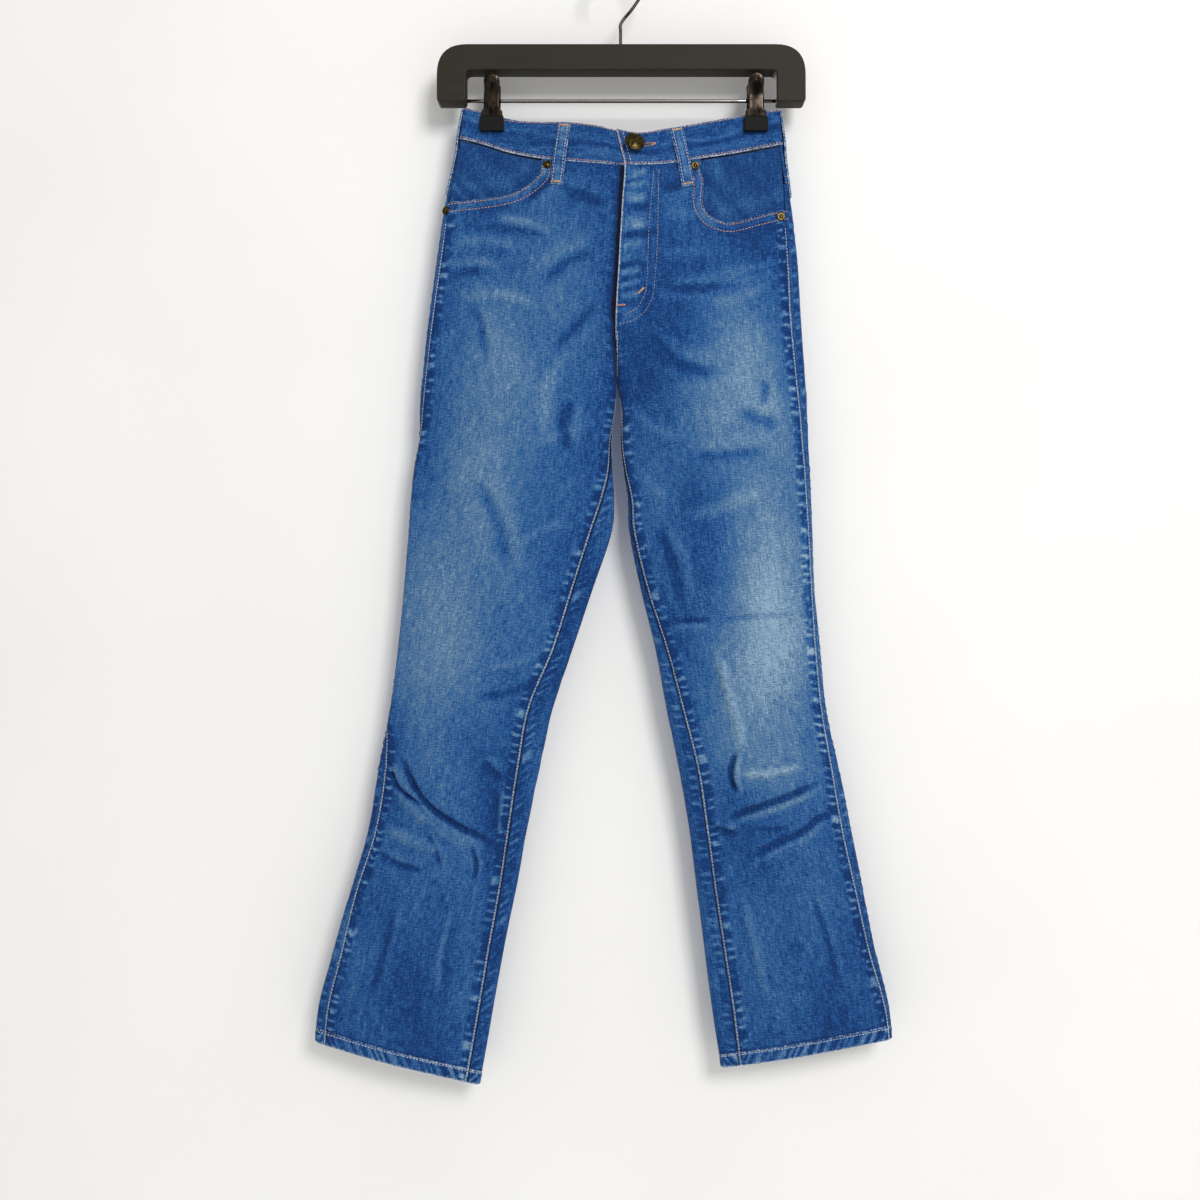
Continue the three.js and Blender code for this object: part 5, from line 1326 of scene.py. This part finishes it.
def closed_rings(points, count, sides):
    """Faces between rings of points, the first and last point being the poles."""
    k = np.arange(sides)
    n = (k + 1) % sides
    last = len(points) - 1
    faces = [np.stack([np.zeros_like(k), 1 + n, 1 + k], 1)]
    for ring in range(count - 1):
        a, b = 1 + ring * sides + k, 1 + ring * sides + n
        faces += [np.stack([a, b, b + sides], 1), np.stack([a, b + sides, a + sides], 1)]
    faces.append(np.stack([last - sides + k, last - sides + n, np.full_like(k, last)], 1))
    return points, faced_out(points, np.concatenate(faces))


def seated(shape, leg, x, z, height, tilt=0.0):
    """A turned piece stood on the cloth at x and z, its axis on the way out, then leaned."""
    level, turn = place_of(leg, x, z, False)
    out = facing_out(leg, level, turn)
    turned = Vector((0, 0, 1)).rotation_difference(Vector(out.ravel()))
    turned = Quaternion(Vector((1, 0, -0.4)).normalized(), tilt) @ turned
    rotation = np.array(turned.to_matrix())
    points, faces = shape
    return points @ rotation.T + (skin(leg, level, turn) + out * height).reshape(3), faces


def tube(path, radii, sides=16):
    """A round bar along a path in one plane across Y, its ends rounded to a point."""
    way = unit(np.gradient(path, axis=0))
    up = np.broadcast_to([0.0, 1.0, 0.0], path.shape)
    side = unit(np.cross(way, up))
    angle = np.arange(sides) * 2 * np.pi / sides
    rings = path[:, None] + radii[:, None, None] * (
        side[:, None] * np.cos(angle)[None, :, None] + up[:, None] * np.sin(angle)[None, :, None]
    )
    points = np.concatenate([path[:1], rings.reshape(-1, 3), path[-1:]])
    return closed_rings(points, len(path), sides)


def rounded_outline(corners, steps=10):
    """Closed outline through (x, z, radius) corners, each cut by a smooth parabola."""
    points = []
    for k, (x, z, radius) in enumerate(corners):
        here = np.array([x, z], float)
        before, after = (np.array(corners[(k + side) % len(corners)][:2], float) for side in (-1, 1))
        first, last = (here + radius * unit(other - here) for other in (before, after))
        t = np.linspace(0, 1, steps)[:, None]
        points.append((1 - t) ** 2 * first + 2 * t * (1 - t) * here + t**2 * last)
    outline = np.concatenate(points)
    x, z = outline.T
    clockwise = (x * np.roll(z, -1) - z * np.roll(x, -1)).sum() < 0
    return outline[::-1] if clockwise else outline


def slab(outline, y, half, radius, steps=5):
    """A flat board: the outline drawn inward along a quarter circle at both faces, with caps."""
    count = len(outline)
    d = unit(np.roll(outline, -1, 0) - outline)
    inward = np.stack([-d[:, 1], d[:, 0]], 1)
    both = inward + np.roll(inward, 1, 0)
    miter = both / np.maximum((both * inward).sum(1, keepdims=True), 0.3)
    rings = []
    bends = [(radius * (1 - np.cos(angle)), half - radius + radius * np.sin(angle)) for angle in np.linspace(0, np.pi / 2, steps)]
    bends.append((radius + 0.4, half))
    for side, order in ((-1, bends[::-1]), (1, bends)):
        for inset, deep in order:
            line = outline + miter * inset
            rings.append(np.stack([line[:, 0], np.full(count, y + side * deep), line[:, 1]], 1))
    points = np.concatenate(rings)
    k = np.arange(count)
    n = (k + 1) % count
    faces = []
    for ring in range(len(rings) - 1):
        a, b = ring * count + k, ring * count + n
        faces += [np.stack([a, b + count, b], 1), np.stack([a, a + count, b + count], 1)]
    cap = np.array(geometry.tessellate_polygon([[Vector((x, z, 0)) for x, _, z in rings[0]]]))
    turned = np.cross(rings[0][cap[:, 1]] - rings[0][cap[:, 0]], rings[0][cap[:, 2]] - rings[0][cap[:, 0]])[:, 1] > 0
    cap[turned] = cap[turned][:, ::-1]
    faces += [cap, cap[:, ::-1] + (len(rings) - 1) * count]
    return points, faced_out(points, np.concatenate(faces))


def joined(*shapes):
    """Several closed shapes as one."""
    start = np.cumsum([0, *[len(points) for points, _ in shapes]])
    faces = [faces + first for (_, faces), first in zip(shapes, start)]
    return np.concatenate([points for points, _ in shapes]), np.concatenate(faces)


BUTTON_PROFILE = [(0, 0), (9.3, 0), (10, 0.7), (9.95, 1.3), (9.5, 1.75), (8.9, 1.8), (8.4, 1.5), (8.0, 1.55), (7.4, 1.95),
                  (6.2, 2.5), (4.6, 2.95), (2.6, 3.25), (1.1, 3.36), (0, 3.4)]
RIVET_PROFILE = [(0, 0), (4.1, 0), (4.4, 0.25), (4.3, 0.6), (3.85, 0.95), (3.2, 1.0), (2.6, 0.85), (1.9, 0.95),
                 (1.3, 1.4), (0.6, 1.57), (0, 1.6)]
RIVETS = [
    ("rivet_right_top", "right", -72.5, -205.5),
    ("rivet_right_side", "right", -173, -249),
    ("rivet_left_top", "left", 74.2, -206.5),
    ("rivet_left_side", "left", 160, -255.5),
]
BUTTON_TILT = -0.35
button_height = BAND_PROUD + 0.35 + 10 * np.sin(-BUTTON_TILT)
shape = seated(lathe(BUTTON_PROFILE, 56), "left", 13.8, -187.5, button_height, BUTTON_TILT)
put("waist_button", *shape, BRASS, "antique_brass", ["button"])
for node, leg, x, z in RIVETS:
    put(f"metal_{node}", *seated(lathe(RIVET_PROFILE, 32), leg, x, z, 0.75), BRASS, "antique_brass", [node])

# Zip teeth: two rows of small moulded blocks that mesh
line, outs = zip_line[0][:, 0], zip_line[1][:, 0]
share = np.linspace(0, len(line) - 1, ZIP_TEETH)
at = [np.stack([np.interp(share, np.arange(len(line)), g[:, k]) for k in range(3)], 1) for g in (line, outs)]
cube = np.array([(x, y, z) for x in (-0.5, 0.5) for y in (-0.5, 0.5) for z in (-0.5, 0.5)])
cube_faces = np.array([(0, 1, 3), (0, 3, 2), (4, 6, 7), (4, 7, 5), (0, 4, 5), (0, 5, 1), (2, 3, 7), (2, 7, 6), (0, 2, 6), (0, 6, 4), (1, 5, 7), (1, 7, 3)])
swing = np.where(np.arange(ZIP_TEETH) % 2, 0.9, -0.9)
points = at[0][:, None] - at[1][:, None] * 1.68 + cube[None] * TOOTH
points[..., 0] += swing[:, None]
points = points.reshape(-1, 3)
faces = (np.arange(ZIP_TEETH) * 8)[:, None, None] + cube_faces[None]
put("zip_teeth", points, faced_out(points, faces.reshape(-1, 3)), TEETH, "zip_tape")

# Hanger: one board with two dropped ends, a wire hook and a rod with two spring clips
HALF_WIDTH, TOP_Z, BAR, DROPPED, END_WIDTH = 183.3, -84.8, 25.8, 57.2, 29
left_x, right_x = HANGER_X - HALF_WIDTH, HANGER_X + HALF_WIDTH
board = rounded_outline([
    (left_x, TOP_Z, 30),
    (right_x, TOP_Z, 30),
    (right_x, TOP_Z - DROPPED, 4),
    (right_x - END_WIDTH, TOP_Z - DROPPED, 4),
    (right_x - END_WIDTH, TOP_Z - BAR, 5),
    (left_x + END_WIDTH, TOP_Z - BAR, 5),
    (left_x + END_WIDTH, TOP_Z - DROPPED, 4),
    (left_x, TOP_Z - DROPPED, 4),
])
put("hanger_board", *slab(board, 0, 10, 1.6), LACQUER, "hanger_board", ["hanger_bar"])

WIRE, CROOK, BEND_Z, STEM_X = 1.6, 24, -60, 0.5
arc = np.radians(np.arange(-40, 205.1, 17.5))
neck = [(STEM_X, TOP_Z + 0.3), (STEM_X, BEND_Z - 8), (STEM_X, BEND_Z - 2), (STEM_X + 3.5, BEND_Z + 4), (STEM_X + 11, BEND_Z + 13)]
crook = np.stack([-0.5 + CROOK * np.cos(arc), WIRE - CROOK + CROOK * np.sin(arc)], 1)
flat_path = rounded_line(np.concatenate([neck, crook]), 8)
path = np.stack([flat_path[:, 0], np.zeros(len(flat_path)), flat_path[:, 1]], 1)
radii = np.full(len(path), WIRE)
radii[-4:] = WIRE * np.array([0.98, 0.9, 0.7, 0.4])
put("wire_hook", *tube(path, radii), HOOK_STEEL, "steel_wire", ["hanger_hook"])

ROD_Z, ROD_RADIUS = -138.2, 1.75
rod_half = HALF_WIDTH - END_WIDTH - 0.3
path = np.stack([HANGER_X + np.linspace(-rod_half, rod_half, 9), np.zeros(9), np.full(9, ROD_Z)], 1)
put("clip_rod", *tube(path, np.full(9, ROD_RADIUS)), PAINTED_REFLECTION_STEEL, "steel_wire", ["hanger_rod"])

CLIP_PROFILE = table("z y", [(-156, 5.2), (-155.6, 5.2), (-147, 6.6), (-141, 6.6), (-134, 6.6), (-120, 9.8), (-106.4, 12.3), (-105, 12.5)])
CLIP_TOP = -114.4


def clip_plate(side):
    """One lever: a plate with a round head and a wider foot, its edges bent back into flanges
    that are deepest at the spring, with a raised bead that follows the head."""
    down = np.concatenate([8 * (1 - np.cos(np.linspace(0, np.pi / 2, 16))), np.linspace(9, 41, 44)])
    z = CLIP_TOP - down[:, None]
    across = np.linspace(-1, 1, 41)[None, :]
    half = np.where(down < 8, np.sqrt(np.maximum(64 - (8 - down) ** 2, 0.05)), 8)
    half = (half + 2.5 * smooth(32.6, 36.6, down))[:, None]
    x = across * half
    edge = half - np.abs(x)
    flange = (1.0 + 2.4 * bell(z, -127, 7)) * smooth(1.6, 0.0, edge) * smooth(3, 9, down)[:, None]
    head = CLIP_TOP - 8
    bead = np.where(z > head, np.abs(np.hypot(x, z - head) - 5.4), np.abs(np.abs(x) - 5.4))
    raised = 0.6 * np.exp(-((bead / 0.8) ** 2)) * smooth(head - 10, head - 2, z)
    raised = raised + 0.9 * np.exp(-(((np.hypot(x, z - head - 3) - 1.9) / 0.8) ** 2))
    y = column(CLIP_PROFILE, "z", "y", z) - flange + np.zeros_like(x)
    z = np.broadcast_to(z, x.shape)
    outer = np.stack([x, side * (y + 1.3 + raised - 0.5 * smooth(1.0, 0, edge)), z], -1)
    inner = np.stack([x, side * y, z], -1)
    points, faces, _ = wall(outer, inner)
    return points, faces


def spring():
    """The coil round the rod: six turns of wire."""
    t = np.linspace(0, 1, 6 * 16 + 1)
    angle = 2 * np.pi * 6 * t
    path = np.stack([mix(-6.0, 6.0, t), 3.5 * np.cos(angle), ROD_Z + 3.5 * np.sin(angle)], 1)
    way = unit(np.gradient(path, axis=0))
    out = unit(np.stack([np.zeros_like(t), np.cos(angle), np.sin(angle)], 1))
    side = np.cross(way, out)
    turn = np.arange(8) * np.pi / 4
    rings = path[:, None] + 0.75 * (out[:, None] * np.cos(turn)[None, :, None] + side[:, None] * np.sin(turn)[None, :, None])
    points = np.concatenate([path[:1], rings.reshape(-1, 3), path[-1:]])
    return closed_rings(points, len(path), 8)


PAD_OUTLINE = np.array([(-12, -155.9, 1.8), (12, -155.9, 1.8), (12, -170.6, 1.8), (-12, -170.6, 1.8)])
for leg, x in CLIP_X.items():
    move = np.array([x, 0, 0])
    points, faces = joined(clip_plate(-1), clip_plate(1), spring())
    put(f"spring_clip_{leg}", points + move, faces, NICKEL, "black_nickel", [f"clip_{leg}"])
    for face, side in (("front", -1), ("back", 1)):
        points, faces = slab(rounded_outline(PAD_OUTLINE.tolist(), 6), side * 6.2, 2.4, 1.0)
        put(f"rubber_{leg}_{face}", points + move, faces, RUBBER, "rubber", [f"clip_{leg}_pad_{face}"])

# Wall, floor and light
WALL_Y, FLOOR_Z, ROOM = 35, -1290, 4000


def stage_plane(name, corners, code, see_through):
    """A wide flat sheet of matt paint, clear from behind where asked."""
    material, tree, shader = new_material(name, Roughness=0.9)
    shader.inputs["Specular IOR Level"].default_value = 0.1
    place = add_node(tree, "ShaderNodeTexCoord").outputs["Object"]
    paint = ramp(tree, weighed(tree, spots(tree, place, (300, 300, 300), 2), 1.0, 0.5), [(0, code[0]), (1, code[1])])
    tree.links.new(paint, shader.inputs["Base Color"])
    if see_through:
        behind = add_node(tree, "ShaderNodeNewGeometry").outputs["Backfacing"]
        clear = add_node(tree, "ShaderNodeBsdfTransparent")
        either = {0: behind, 1: shader.outputs[0], 2: clear.outputs[0]}
        either = add_node(tree, "ShaderNodeMixShader", either)
        tree.links.new(either.outputs[0], tree.nodes["Material Output"].inputs["Surface"])
    mesh = bpy.data.meshes.new(name)
    mesh.from_pydata([tuple(c * MM for c in corner) for corner in corners], [], [(0, 1, 2, 3)])
    mesh.materials.append(material)
    plane = bpy.data.objects.new(name, mesh)
    bpy.context.scene.collection.objects.link(plane)
    return plane


back_wall = stage_plane(
    "wall",
    [(-ROOM, WALL_Y, FLOOR_Z), (ROOM, WALL_Y, FLOOR_Z), (ROOM, WALL_Y, ROOM), (-ROOM, WALL_Y, ROOM)],
    ("#e7e6e4", "#ebeae8"),
    True,
)
back_wall.visible_shadow = False
stage_plane(
    "floor",
    [(-ROOM, -ROOM, FLOOR_Z), (ROOM, -ROOM, FLOOR_Z), (ROOM, ROOM, FLOOR_Z), (-ROOM, ROOM, FLOOR_Z)],
    ("#e6e5e1", "#ebeae6"),
    False,
)


def area_light(name, place, target, size, power):
    """A square soft light aimed at a point."""
    lamp = bpy.data.lights.new(name, "AREA")
    lamp.size, lamp.energy = size, power
    light = bpy.data.objects.new(name, lamp)
    light.location = place
    light.rotation_mode = "QUATERNION"
    light.rotation_quaternion = (Vector(target) - Vector(place)).to_track_quat("-Z", "Y")
    bpy.context.scene.collection.objects.link(light)


area_light("key", (1.05, -2.6, 0.7), (0, 0, -0.6), 1.0, 55)
area_light("rear", (-1.2, 2.4, 0.6), (0, 0, -0.6), 2.0, 60)
world = bpy.data.worlds.new("studio")
world.use_nodes = True
world.node_tree.nodes["Background"].inputs[0].default_value = (1, 1, 1, 1)
world.node_tree.nodes["Background"].inputs[1].default_value = 0.6
bpy.context.scene.world = world
bpy.context.scene.view_settings.view_transform = "Standard"
